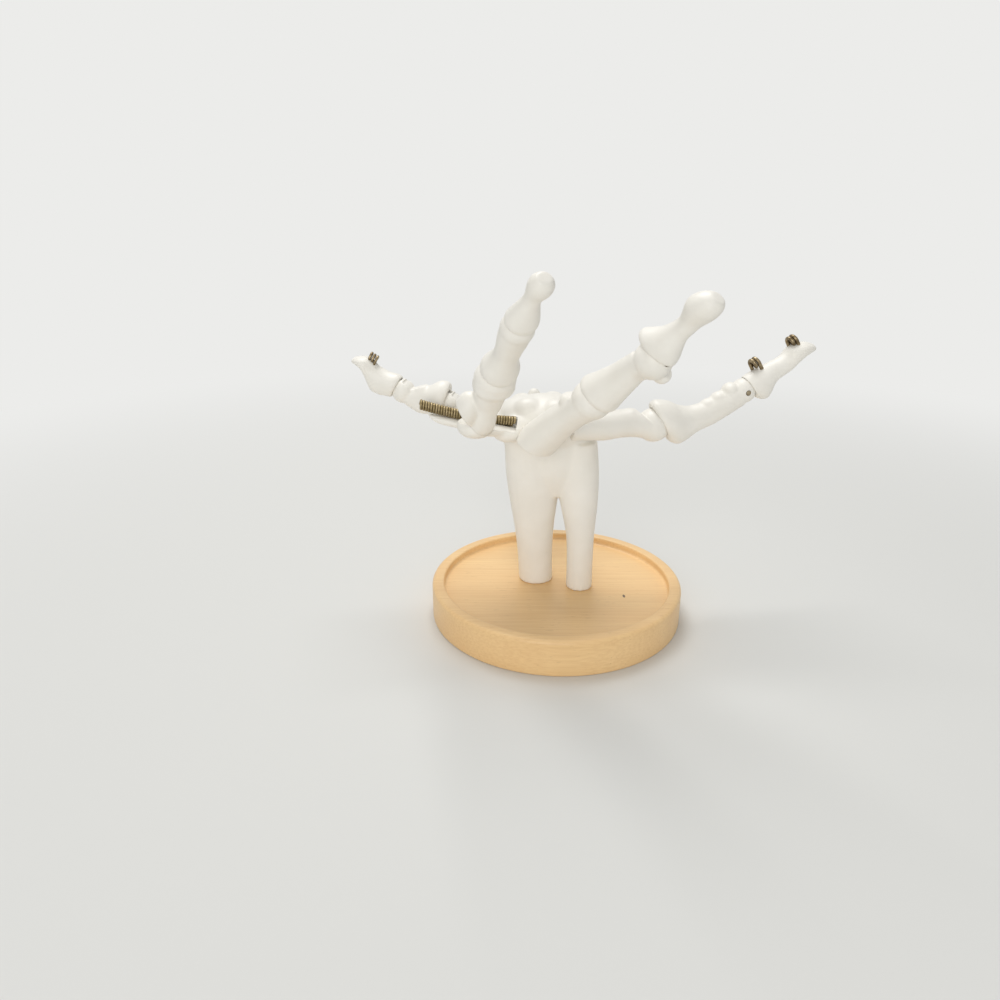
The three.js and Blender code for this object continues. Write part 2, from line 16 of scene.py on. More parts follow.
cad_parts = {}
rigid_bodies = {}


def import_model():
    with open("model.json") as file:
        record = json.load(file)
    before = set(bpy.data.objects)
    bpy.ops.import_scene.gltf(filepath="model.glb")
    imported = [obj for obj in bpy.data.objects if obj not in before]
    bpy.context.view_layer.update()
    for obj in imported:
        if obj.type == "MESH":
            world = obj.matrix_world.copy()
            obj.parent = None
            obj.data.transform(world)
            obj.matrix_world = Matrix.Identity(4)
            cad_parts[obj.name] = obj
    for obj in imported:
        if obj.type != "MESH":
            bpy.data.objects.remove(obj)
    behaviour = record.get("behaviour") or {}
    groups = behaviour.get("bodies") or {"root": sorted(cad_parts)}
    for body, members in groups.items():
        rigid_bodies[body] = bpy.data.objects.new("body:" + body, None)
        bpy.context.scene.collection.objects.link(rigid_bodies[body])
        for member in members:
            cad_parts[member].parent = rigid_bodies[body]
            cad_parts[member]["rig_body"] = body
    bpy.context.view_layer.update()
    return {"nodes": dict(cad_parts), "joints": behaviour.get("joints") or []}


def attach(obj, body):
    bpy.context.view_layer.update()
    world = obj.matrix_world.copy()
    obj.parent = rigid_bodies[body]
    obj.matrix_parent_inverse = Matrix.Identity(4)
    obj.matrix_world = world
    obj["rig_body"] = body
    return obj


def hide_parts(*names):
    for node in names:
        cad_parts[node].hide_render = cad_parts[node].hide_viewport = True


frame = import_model()
hinges = {joint["name"]: joint for joint in frame["joints"]}
print("nodes", len(frame["nodes"]), "hinges", len(hinges))

# %% [markdown]
# ## Working in millimetres
# Every piece is modelled in millimetres, because bones, wire and turned wood are measured that way.
# Only the last step turns a mesh to metres, hangs it on its body and hides the plain solid that it
# stands for. The finished object sits at the origin, with its place in its mesh.

# %% Finishing a piece
MM = 0.001
UP = Vector((0, 0, 1))
MERGE_DISTANCE = 0.002
SHARP_ANGLE = radians(35)


def finish_piece(node, mesh, material):
    """Puts a millimetre mesh in place of a node, on that node's body."""
    mesh.transform(Matrix.Scale(MM, 4))
    mesh.materials.clear()
    mesh.materials.append(material)
    piece = bpy.data.objects.new(node + "_piece", mesh)
    bpy.context.scene.collection.objects.link(piece)
    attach(piece, frame["nodes"][node]["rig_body"])
    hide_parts(node)
    return piece


def mesh_from(bm, name):
    """A mesh with merged doubles, outward faces and smooth shading between sharp edges."""
    bmesh.ops.remove_doubles(bm, verts=bm.verts[:], dist=MERGE_DISTANCE)
    bmesh.ops.recalc_face_normals(bm, faces=bm.faces[:])
    mesh = bpy.data.meshes.new(name)
    bm.to_mesh(mesh)
    bm.free()
    mesh.shade_smooth()
    mesh.set_sharp_from_angle(angle=SHARP_ANGLE)
    return mesh


print("one millimetre is", MM, "metres")

# %% [markdown]
# ## Material helpers
# Colours are written as they look on a screen, so one function turns a hex value to the linear
# numbers that a shader works with. A second adds a node with its settings and links. Patterns read
# Object coordinates, which are metres here, so a scale of 1000 over a size in millimetres gives a
# pattern of that size.

# %% Colour and node helpers
MM_PER_METRE = 1000
# how deep the bump of a fine grain is, in metres
GRAIN_DEPTH = 0.0002
# a colour Mix node has three sets of sockets, and these are the colour ones
MIX_A = 6
MIX_B = 7
MIX_RESULT = 2


def linear(hex_code):
    """A hex colour as linear red, green, blue and an alpha of 1."""
    shares = [int(hex_code[i:i + 2], 16) / 255 for i in (1, 3, 5)]
    return [s / 12.92 if s <= 0.04045 else ((s + 0.055) / 1.055) ** 2.4 for s in shares] + [1]


def add_node(material, kind, inputs, **settings):
    """A node with its settings, and its sockets set to values or linked to other sockets."""
    tree = material.node_tree
    node = tree.nodes.new(kind)
    for name, value in settings.items():
        setattr(node, name, value)
    for socket, value in inputs.items():
        if isinstance(value, bpy.types.NodeSocket):
            tree.links.new(value, node.inputs[socket])
        else:
            node.inputs[socket].default_value = value
    return node


def start_material(name):
    """An empty material with its shader, output and Object coordinates."""
    material = bpy.data.materials.new(name)
    material.use_nodes = True
    material.node_tree.nodes.clear()
    shader = add_node(material, "ShaderNodeBsdfPrincipled", {})
    add_node(material, "ShaderNodeOutputMaterial", {"Surface": shader.outputs["BSDF"]})
    place = add_node(material, "ShaderNodeTexCoord", {})
    return material, shader, place.outputs["Object"]


print("half grey is", round(linear("#808080")[0], 3), "in linear light")

# %% [markdown]
# ## Moulded white plastic
# The bones are cast in a warm white plastic. Its skin is neither glossy nor chalky: broad soft
# highlights, a faint cloudiness a few millimetres across, and the fine grain of a sanded mould. A
# noise drives the cloudiness in colour and roughness, and a finer one the bump.

# %% White plastic
CLOUD_MM = 9
MOULD_GRAIN_MM = 0.7


def moulded_white_plastic():
    """Warm white plastic from a sanded mould: soft highlights and faint clouds."""
    material, shader, place = start_material("moulded_white_plastic")
    clouds = add_node(material, "ShaderNodeTexNoise",
                      {"Vector": place, "Scale": MM_PER_METRE / CLOUD_MM, "Detail": 3})
    colour = add_node(material, "ShaderNodeMix",
                      {"Factor": clouds.outputs["Fac"], MIX_A: linear("#E9E5DB"), MIX_B: linear("#F5F2EB")},
                      data_type="RGBA")
    rough = add_node(material, "ShaderNodeMapRange",
                     {"Value": clouds.outputs["Fac"], "To Min": 0.38, "To Max": 0.52})
    grain = add_node(material, "ShaderNodeTexNoise",
                     {"Vector": place, "Scale": MM_PER_METRE / MOULD_GRAIN_MM, "Detail": 2})
    bump = add_node(material, "ShaderNodeBump",
                    {"Height": grain.outputs["Fac"], "Strength": 0.06, "Distance": GRAIN_DEPTH})
    tree = material.node_tree
    tree.links.new(colour.outputs[MIX_RESULT], shader.inputs["Base Color"])
    tree.links.new(rough.outputs["Result"], shader.inputs["Roughness"])
    tree.links.new(bump.outputs["Normal"], shader.inputs["Normal"])
    shader.inputs["IOR"].default_value = 1.5
    return material


white_plastic = moulded_white_plastic()
print("made", white_plastic.name)

# %% [markdown]
# ## Lacquered beech
# The disc is turned from a plank of pale beech, so one block of grain runs through tray, rim and
# side. The colour drifts a little across the plank, fine streaks run along it, and short dark flecks
# are beech's own mark. Stretching Object coordinates along the plank gives all three. A pin knot, a
# dark speck one millimetre wide, sits in the tray at the right.

# %% Beech
GRAIN_TURN = radians(-7)
DRIFT_MM = (90, 14, 14)
STREAK_MM = (26, 0.7, 0.7)
FLECK_MM = (5, 0.4, 0.4)
KNOT_PLACE_MM = Vector((26.4, -10.4, 11))
KNOT_SIZE_MM = Vector((0.55, 1.3, 1.3))


def plank_pattern(material, place, sizes):
    """A noise with marks of those sizes along, across and through the plank."""
    grain = add_node(material, "ShaderNodeMapping",
                     {"Vector": place, "Rotation": (0, 0, GRAIN_TURN),
                      "Scale": [MM_PER_METRE / size for size in sizes]})
    noise = add_node(material, "ShaderNodeTexNoise",
                     {"Vector": grain.outputs["Vector"], "Scale": 1, "Detail": 2})
    return noise.outputs["Fac"]


def from_knot(material, place):
    """The distance from the knot's middle, as a share of its size."""
    moved = add_node(material, "ShaderNodeMapping",
                     {"Vector": place, "Scale": [MM_PER_METRE / size for size in KNOT_SIZE_MM],
                      "Location": [-p / size for p, size in zip(KNOT_PLACE_MM, KNOT_SIZE_MM)]})
    away = add_node(material, "ShaderNodeVectorMath", {0: moved.outputs["Vector"]}, operation="LENGTH")
    return away.outputs["Value"]


def with_marks(material, below, pattern, limits, shares, mark):
    """A colour with darker marks, whose share follows a pattern between two limits."""
    share = add_node(material, "ShaderNodeMapRange",
                     {"Value": pattern, "From Min": limits[0], "From Max": limits[1],
                      "To Min": shares[0], "To Max": shares[1]})
    marked = add_node(material, "ShaderNodeMix",
                      {"Factor": share.outputs["Result"], MIX_A: below, MIX_B: linear(mark)},
                      data_type="RGBA")
    return marked.outputs[MIX_RESULT]


def lacquered_beech():
    """Pale beech under a thin satin lacquer, with drifting colour, fine streaks and short flecks."""
    material, shader, place = start_material("lacquered_beech")
    drift = plank_pattern(material, place, DRIFT_MM)
    streaks = plank_pattern(material, place, STREAK_MM)
    flecks = plank_pattern(material, place, FLECK_MM)
    plank = add_node(material, "ShaderNodeMix",
                     {"Factor": drift, MIX_A: linear("#E8BE84"), MIX_B: linear("#F6D49D")},
                     data_type="RGBA")
    colour = plank.outputs[MIX_RESULT]
    colour = with_marks(material, colour, streaks, (0.35, 0.7), (0, 0.22), "#C9935E")
    colour = with_marks(material, colour, flecks, (0.68, 0.76), (0, 0.45), "#99693E")
    colour = with_marks(material, colour, from_knot(material, place), (0.7, 1.1), (0.95, 0), "#4A3018")
    bump = add_node(material, "ShaderNodeBump",
                    {"Height": streaks, "Strength": 0.05, "Distance": GRAIN_DEPTH})
    tree = material.node_tree
    tree.links.new(colour, shader.inputs["Base Color"])
    tree.links.new(bump.outputs["Normal"], shader.inputs["Normal"])
    shader.inputs["Roughness"].default_value = 0.42
    shader.inputs["Coat Weight"].default_value = 0.15
    shader.inputs["Coat Roughness"].default_value = 0.3
    return material


beech = lacquered_beech()
print("made", beech.name)

# %% [markdown]
# ## Metals
# The springs are steel wire with an antique bronze plating: brown and rubbed bright on the short hook
# coils, olive and dull on the long spring. Pins are plain drawn steel and the screws are zinc plated.
# One function makes all four: a metal's colour with a patchy second colour, and a roughness that
# follows the patches.

# %% Metals
PATCH_MM = 1.6
ROUGHNESS_SPREAD = 0.1


def wire_metal(name, dark, bright, roughness):
    """A metal with small patches of a darker skin."""
    material, shader, place = start_material(name)
    patches = add_node(material, "ShaderNodeTexNoise",
                       {"Vector": place, "Scale": MM_PER_METRE / PATCH_MM, "Detail": 3})
    share = add_node(material, "ShaderNodeMapRange",
                     {"Value": patches.outputs["Fac"], "From Min": 0.35, "From Max": 0.65})
    colour = add_node(material, "ShaderNodeMix",
                      {"Factor": share.outputs["Result"], MIX_A: linear(dark), MIX_B: linear(bright)},
                      data_type="RGBA")
    rough = add_node(material, "ShaderNodeMapRange",
                     {"Value": patches.outputs["Fac"], "To Min": roughness + ROUGHNESS_SPREAD,
                      "To Max": roughness - ROUGHNESS_SPREAD})
    tree = material.node_tree
    tree.links.new(colour.outputs[MIX_RESULT], shader.inputs["Base Color"])
    tree.links.new(rough.outputs["Result"], shader.inputs["Roughness"])
    shader.inputs["Metallic"].default_value = 1
    return material


# antique bronze plating on the hook coils: brown, with bright rubbed crowns
aged_bronze = wire_metal("antique_bronze_plated_wire", "#6E5F47", "#A39376", 0.36)
# the same plating left unrubbed on the long spring: olive and duller
dull_bronze = wire_metal("unrubbed_bronze_plated_wire", "#8A7A56", "#A89878", 0.52)
# drawn steel with a brownish film from handling
pin_steel = wire_metal("tarnished_drawn_steel", "#8E7F66", "#B0A48C", 0.4)
# zinc plate: a little bluer and brighter
screw_steel = wire_metal("zinc_plated_steel", "#A3A7AA", "#C2C6C8", 0.3)
print("made", aged_bronze.name, dull_bronze.name, pin_steel.name, screw_steel.name)

# %% [markdown]
# ## The camera
# The base is a true circle, so the ellipses of its rim and tray tell where the photograph was taken
# from: in front, a little left of the middle, looking down by 21 degrees through a wide lens.

# %% Camera
CAMERA_PLACE_MM = (-22.65, -275.12, 152.64)
CAMERA_PITCH = radians(90 - 20.87)
CAMERA_LENS_MM = 27.07
SENSOR_WIDTH_MM = 36

camera_data = bpy.data.cameras.new("camera")
camera_data.lens = CAMERA_LENS_MM
camera_data.sensor_width = SENSOR_WIDTH_MM
camera = bpy.data.objects.new("camera", camera_data)
camera.location = Vector(CAMERA_PLACE_MM) * MM
camera.rotation_euler = (CAMERA_PITCH, 0, 0)
bpy.context.scene.collection.objects.link(camera)
bpy.context.scene.camera = camera
print("camera at", tuple(camera.location))

# %% [markdown]
# ## The wooden base
# A lathe makes the base, so a spin does here: half the cross-section, turned round the middle. The
# corners are bevelled afterwards by their own radius, as a turner breaks each edge with a different
# tool.

# %% Base disc
BASE_RADIUS = 50
BASE_HEIGHT = 14.2
RIM_WIDTH = 4.8
TRAY_FLOOR = 11
TURN_STEPS = 160
EDGE_SEGMENTS = 5
CIRCLE_TOLERANCE = 0.01
# radius and height of each corner, and how far its bevel reaches
EDGE_ROUNDS = [
    (BASE_RADIUS, 0, 0.8),
    (BASE_RADIUS, BASE_HEIGHT, 1.4),
    (BASE_RADIUS - RIM_WIDTH, BASE_HEIGHT, 0.8),
    (BASE_RADIUS - RIM_WIDTH, TRAY_FLOOR, 1.2),
]


def turned(bm, outline, steps):
    """Spins an outline of (radius, height) points round the Z axis to a closed solid."""
    verts = [bm.verts.new((radius, 0, height)) for radius, height in outline]
    edges = [bm.edges.new(pair) for pair in zip(verts, verts[1:])]
    bmesh.ops.spin(bm, geom=verts + edges, cent=(0, 0, 0), axis=UP, dvec=(0, 0, 0),
                   angle=2 * pi, steps=steps, use_merge=True)
    bmesh.ops.remove_doubles(bm, verts=bm.verts[:], dist=MERGE_DISTANCE)
    bmesh.ops.recalc_face_normals(bm, faces=bm.faces[:])


def ring_edges(bm, radius, height):
    """The edges of the circle at that radius and height."""
    def on_circle(vert):
        off = max(abs(vert.co.z - height), abs(vert.co.xy.length - radius))
        return off < CIRCLE_TOLERANCE
    return [edge for edge in bm.edges if all(on_circle(vert) for vert in edge.verts)]


def base_shape():
    """The turned disc with its bevelled corners."""
    inner = BASE_RADIUS - RIM_WIDTH
    bm = bmesh.new()
    turned(bm, [(0, 0), (BASE_RADIUS, 0), (BASE_RADIUS, BASE_HEIGHT), (inner, BASE_HEIGHT),
                (inner, TRAY_FLOOR), (0, TRAY_FLOOR)], TURN_STEPS)
    for radius, height, size in EDGE_ROUNDS:
        bmesh.ops.bevel(bm, geom=ring_edges(bm, radius, height), offset=size, affect="EDGES",
                        segments=EDGE_SEGMENTS, profile=0.5, material=-1)
    return bm


disc = base_shape()
print("disc faces before the holes", len(disc.faces))

# %% [markdown]
# ## Cutting and joining
# Holes, cups and slots are cut with Boolean modifiers on a scratch object in millimetres, and the
# result is read back as a plain mesh. The same stack can start with a voxel Remesh, which fuses
# overlapping lumps to one skin, and a Smooth, which rounds the creases between them the way wax
# carving does.

# %% Scratch objects and Booleans
SMOOTHING = 0.5
scratch = bpy.data.collections.new("scratch")
bpy.context.scene.collection.children.link(scratch)


def rough(bm):
    """A scratch object from a bmesh."""
    mesh = bpy.data.meshes.new("rough")
    bmesh.ops.recalc_face_normals(bm, faces=bm.faces[:])
    bm.to_mesh(mesh)
    bm.free()
    body = bpy.data.objects.new("rough", mesh)
    scratch.objects.link(body)
    return body


def fuse(body, voxel, rounds):
    """One skin over everything in the body, rounded by that many smoothing steps."""
    skin = body.modifiers.new("skin", "REMESH")
    skin.mode = "VOXEL"
    skin.voxel_size = voxel
    rounding = body.modifiers.new("rounding", "SMOOTH")
    rounding.factor = SMOOTHING
    rounding.iterations = rounds


def combine(body, tool, operation):
    """A Boolean of the body with a tool that may be a bmesh or a scratch object."""
    step = body.modifiers.new("combine", "BOOLEAN")
    step.operation = operation
    step.solver = "MANIFOLD"
    step.object = tool if isinstance(tool, bpy.types.Object) else rough(tool)


def settled(body):
    """The body's mesh with its modifiers applied."""
    depsgraph = bpy.context.evaluated_depsgraph_get()
    mesh = bpy.data.meshes.new_from_object(body.evaluated_get(depsgraph))
    mesh.shade_smooth()
    return mesh


print("scratch objects go to", scratch.name)

# %% [markdown]
# ## Screw holes
# Two countersunk screws come up from below and hold the feet. Each hole is cut by the screw's own
# outline, spun and a little larger all round, which comes to a point below the base.

# %% Base with its screw holes
FOOT_SCREWS = {"radius_screw": (-7.8, 6.4), "ulna_screw": (9.4, -1.3)}
SCREW_SIDES = 32
SCREW_HEAD_RADIUS = 3.6
SCREW_HEAD_DEPTH = 2.2
SCREW_HEAD_EDGE = 0.3
SCREW_SHANK = 1.8
SCREW_RECESS = 0.8
# how far the straight shank and its tip reach above the tray's floor
SCREW_REACH = 9
SCREW_TIP = 12
WOOD_HOLE_GAP = 0.15
HOLE_POINT = -1


def screw_outline(grow):
    """Half the outline of a countersunk screw, grown all round."""
    head = SCREW_HEAD_RADIUS + grow
    shank = SCREW_SHANK + grow
    bottom = SCREW_RECESS - 2 * grow
    return [(0, bottom), (head, bottom), (head, SCREW_RECESS + SCREW_HEAD_EDGE),
            (shank, SCREW_RECESS + SCREW_HEAD_DEPTH + grow), (shank, TRAY_FLOOR + SCREW_REACH),
            (0, TRAY_FLOOR + SCREW_TIP + grow)]


def cut_screw_holes(body, outline):
    """Cuts a turned hole of that outline for each screw."""
    for x, y in FOOT_SCREWS.values():
        hole = bmesh.new()
        turned(hole, outline, SCREW_SIDES)
        bmesh.ops.translate(hole, verts=hole.verts[:], vec=(x, y, 0))
        combine(body, hole, "DIFFERENCE")


base = rough(disc)
cut_screw_holes(base, [(0, HOLE_POINT)] + screw_outline(WOOD_HOLE_GAP)[1:])
base_mesh = settled(base)
base_mesh.set_sharp_from_angle(angle=SHARP_ANGLE)
print("base faces", len(base_mesh.polygons))
finish_piece("base_disc", base_mesh, beech)

# %% [markdown]
# ## Screws
# The screws' heads sit in recesses under the base, where only someone who turns the stand over sees
# them. The outline is spun, and two crossed bars cut the driver's recess, one after the other.

# %% Screws
BAR_LENGTH = 3.6
BAR_WIDTH = 0.9
BAR_DEPTH = 1.6


def driver_bar(length, width):
    """One of the two crossed bars that cut the driver's recess."""
    bm = bmesh.new()
    place = Matrix.LocRotScale(Vector((0, 0, SCREW_RECESS)), None, Vector((length, width, BAR_DEPTH)))
    bmesh.ops.create_cube(bm, size=1, matrix=place)
    return bm


for node, (x, y) in FOOT_SCREWS.items():
    solid = bmesh.new()
    turned(solid, screw_outline(0), SCREW_SIDES)
    screw = rough(solid)
    combine(screw, driver_bar(BAR_LENGTH, BAR_WIDTH), "DIFFERENCE")
    combine(screw, driver_bar(BAR_WIDTH, BAR_LENGTH), "DIFFERENCE")
    mesh = settled(screw)
    mesh.set_sharp_from_angle(angle=SHARP_ANGLE)
    mesh.transform(Matrix.Translation((x, y, 0)))
    finish_piece(node, mesh, screw_steel)
    print(node, "faces", len(mesh.polygons))

# %% [markdown]
# ## Bones as lofts
# A finger bone is a bent tube whose section changes along its length: flared at the base, slim at
# the waist, full at the head. So it is lofted through a few measured sections. A curve through the
# rows gives the sections in between, each is a scaled circle, and neighbours are bridged. Lumps are
# scaled spheres, and the Remesh fuses them with the shaft.

# %% Lofts and lumps
SECTION_SIDES = 28
SECTIONS_BETWEEN = 4
ROW_LENGTH = 6
LUMP_LEVEL = 4


def eased(rows):
    """The rows and some between them, on a smooth curve through all their numbers."""
    points = [Vector(row + (0,) * (ROW_LENGTH - len(row))) for row in rows]
    points = [points[0]] + points + [points[-1]]
    found = []
    for before, near, far, after in zip(points, points[1:], points[2:], points[3:]):
        for step in range(SECTIONS_BETWEEN):
            t = step / SECTIONS_BETWEEN
            found.append(near + (far - before) * (t / 2)
                         + (before * 2 - near * 5 + far * 4 - after) * (t * t / 2)
                         + (near * 3 - before - far * 3 + after) * (t ** 3 / 2))
    return found + [points[-1]]


def section(bm, row, place):
    """One oval section, as its edges. Row: along, across, palmward, half width, half height, tilt."""
    along, across, palmward, half_width, half_height, tilt = row
    spot = Matrix.Translation((along, across, palmward)) @ Matrix.Rotation(radians(tilt), 4, "Y")
    oval = Matrix(((0, 0, 1, 0), (half_width, 0, 0, 0), (0, half_height, 0, 0), (0, 0, 0, 1)))
    ring = bmesh.ops.create_circle(bm, cap_ends=False, segments=SECTION_SIDES, radius=1,
                                   matrix=place @ spot @ oval)
    return list(dict.fromkeys(edge for vert in ring["verts"] for edge in vert.link_edges))


def loft(bm, rows, place=Matrix.Identity(4)):
    """A closed skin through the rows' sections."""
    rings = [section(bm, row, place) for row in eased(rows)]
    for near, far in zip(rings, rings[1:]):
        bmesh.ops.bridge_loops(bm, edges=near + far)
    for end in (rings[0], rings[-1]):
        bmesh.ops.edgeloop_fill(bm, edges=end)


def lump(bm, centre, half, place=Matrix.Identity(4)):
    """An oval lump."""
    oval = Matrix.LocRotScale(Vector(centre), None, Vector(half))
    bmesh.ops.create_icosphere(bm, subdivisions=LUMP_LEVEL, radius=1, matrix=place @ oval)


print("a section has", SECTION_SIDES, "sides")

# %% [markdown]
# ## The finger hinge
# Each joint is a ball head on one bone, slotted down its middle, and a cup on the next. A flat tongue
# stands in the cup, reaches into the slot and has an eye round the pin. The cutters below are made
# in the joint's own frame: X along the bone, Y along the pin, Z to the palm side. The slot is a
# rectangle spun about the pin through the whole swing, with the neck itself at both stops, so the
# tongue is free all the way. The same spin clears the rooms beside a head that the next bone's rim
# swings into.

# %% Hinge tools
CUP_GAP = 0.1
TONGUE_THICKNESS = 2.4
TONGUE_NECK = 2.4
TONGUE_EYE = 2.4
TONGUE_ROOT = 1.6
SLOT_GAP = 0.32
SWING_BACK = radians(30)
SWING_FORWARD = radians(50)
PIN_RADIUS = 0.9
PIN_GAP = 0.12
PIN_RECESS = 0.1
PIN_END_WALL = 1.2
PIN_SIDES = 24
SWING_STEPS = 24
ALONG_Y = Matrix.Rotation(radians(90), 4, "X")


def rod(radius, start, end):
    """A round rod along Y."""
    bm = bmesh.new()
    place = Matrix.Translation((0, (start + end) / 2, 0)) @ ALONG_Y
    bmesh.ops.create_cone(bm, cap_ends=True, segments=PIN_SIDES, radius1=radius, radius2=radius,
                          depth=abs(end - start), matrix=place)
    return bm


def ball(radius, half_width, gap=0):
    """The ball head, or grown by a gap the hollow that clears it."""
    bm = bmesh.new()
    lump(bm, (0, 0, 0), (radius + gap, half_width + gap, radius + gap))
    return bm


def swung(inner, outer, half_width, start, end):
    """A band about the pin, between two angles from straight on towards the palm."""
    bm = bmesh.new()
    corners = [(inner, -half_width, 0), (outer, -half_width, 0),
               (outer, half_width, 0), (inner, half_width, 0)]
    face = bm.faces.new([bm.verts.new(corner) for corner in corners])
    bmesh.ops.transform(bm, matrix=Matrix.Rotation(-start, 4, "Y"), verts=bm.verts[:])
    bmesh.ops.spin(bm, geom=[face] + face.edges[:] + face.verts[:], cent=(0, 0, 0), axis=(0, 1, 0),
                   dvec=(0, 0, 0), angle=start - end, steps=SWING_STEPS)
    bmesh.ops.remove_doubles(bm, verts=bm.verts[:], dist=MERGE_DISTANCE)
    return bm


def tongue_neck(reach, gap=0, turn=0):
    """The flat neck from the pin outwards, grown by a gap and turned towards the palm."""
    bm = bmesh.new()
    size = Vector((reach, TONGUE_THICKNESS + 2 * gap, TONGUE_NECK + 2 * gap))
    place = Matrix.Rotation(-turn, 4, "Y") @ Matrix.Translation((reach / 2, 0, 0))
    bmesh.ops.create_cube(bm, size=1, matrix=place @ Matrix.Diagonal(size).to_4x4())
    return bm


def tongue_slot(radius):
    """Three cutters for the neck's slot: the swing, and the neck itself at both stops."""
    reach = radius + TONGUE_ROOT
    stops = (-SWING_BACK, SWING_FORWARD)
    swing = swung(0, reach, TONGUE_THICKNESS / 2 + SLOT_GAP, *stops)
    return [swing] + [tongue_neck(reach, SLOT_GAP, stop) for stop in stops]


print("tongue", TONGUE_THICKNESS, "mm thick, slot", TONGUE_THICKNESS + 2 * SLOT_GAP, "mm wide")

# %% [markdown]
# ## Fifteen bones
# A bone's frame comes from its hinge: the pin gives the direction across, the rise the slope. The
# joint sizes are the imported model's own, so heads fit cups. Where the next bone's rim swings past a
# head, rooms and dips keep its way clear.

# %% Joint sizes and slopes
# slopes of metacarpal, proximal and distal bone, in degrees above level
RISES = {
    "thumb": (25, 13.6, 30.7),
    "index": (55, 43, 40),
    "middle": (39, 34.5, 45.7),
    "ring": (0, 19.1, 31.2),
    "little": (-2, -18, -22),
}
# from a metacarpal's root to its knuckle's pin
METACARPAL_LENGTHS = {"thumb": 16, "index": 26, "middle": 36.2, "ring": 21.9, "little": 20}
# radius, half width and the side that the pin enters from, for knuckle and tip joint
JOINTS = {
    "thumb": ((5.0, 5.4, -1), (4.7, 4.9, -1)),
    "index": ((6.7, 7.3, 1), (5.3, 5.5, 1)),
    "middle": ((6.9, 7.3, 1), (6.1, 6.1, 1)),
    "ring": ((6.4, 6.4, 1), (4.7, 5.0, -1)),
    "little": ((5.4, 5.6, 1), (4.3, 4.5, 1)),
}
# rooms round a head for the next bone's rim, from which angle to which
RIM_ROOMS = {
    "thumb_metacarpal": [(66, 133), (-112, -55)],
    "thumb_proximal": [(72, 150)],
    "index_metacarpal": [(70, 130)],
    "middle_metacarpal": [(70, 138)],
    "middle_proximal": [(70, 132), (-92, -50)],
    "ring_metacarpal": [(70, 139)],
    "ring_proximal": [(84, 125)],
}
# dips in a head's own palm side: depth, and from which angle to which
HEAD_DIPS = {
    "thumb_metacarpal": [(0.4, 66, 80), (1.2, 80, 133)],
    "thumb_proximal": [(0.4, 72, 84), (1.3, 84, 150)],
}
# how far from the pin rooms and dips reach
RIM_REACH = 14
print("hinges", 2 * len(JOINTS))

# %% [markdown]
# ## Sections and lumps
# Each bone has a row for every section, measured on the photograph's outlines, and some have lumps
# that break their surface. Two metacarpals end in a slanting face where they meet the palm.

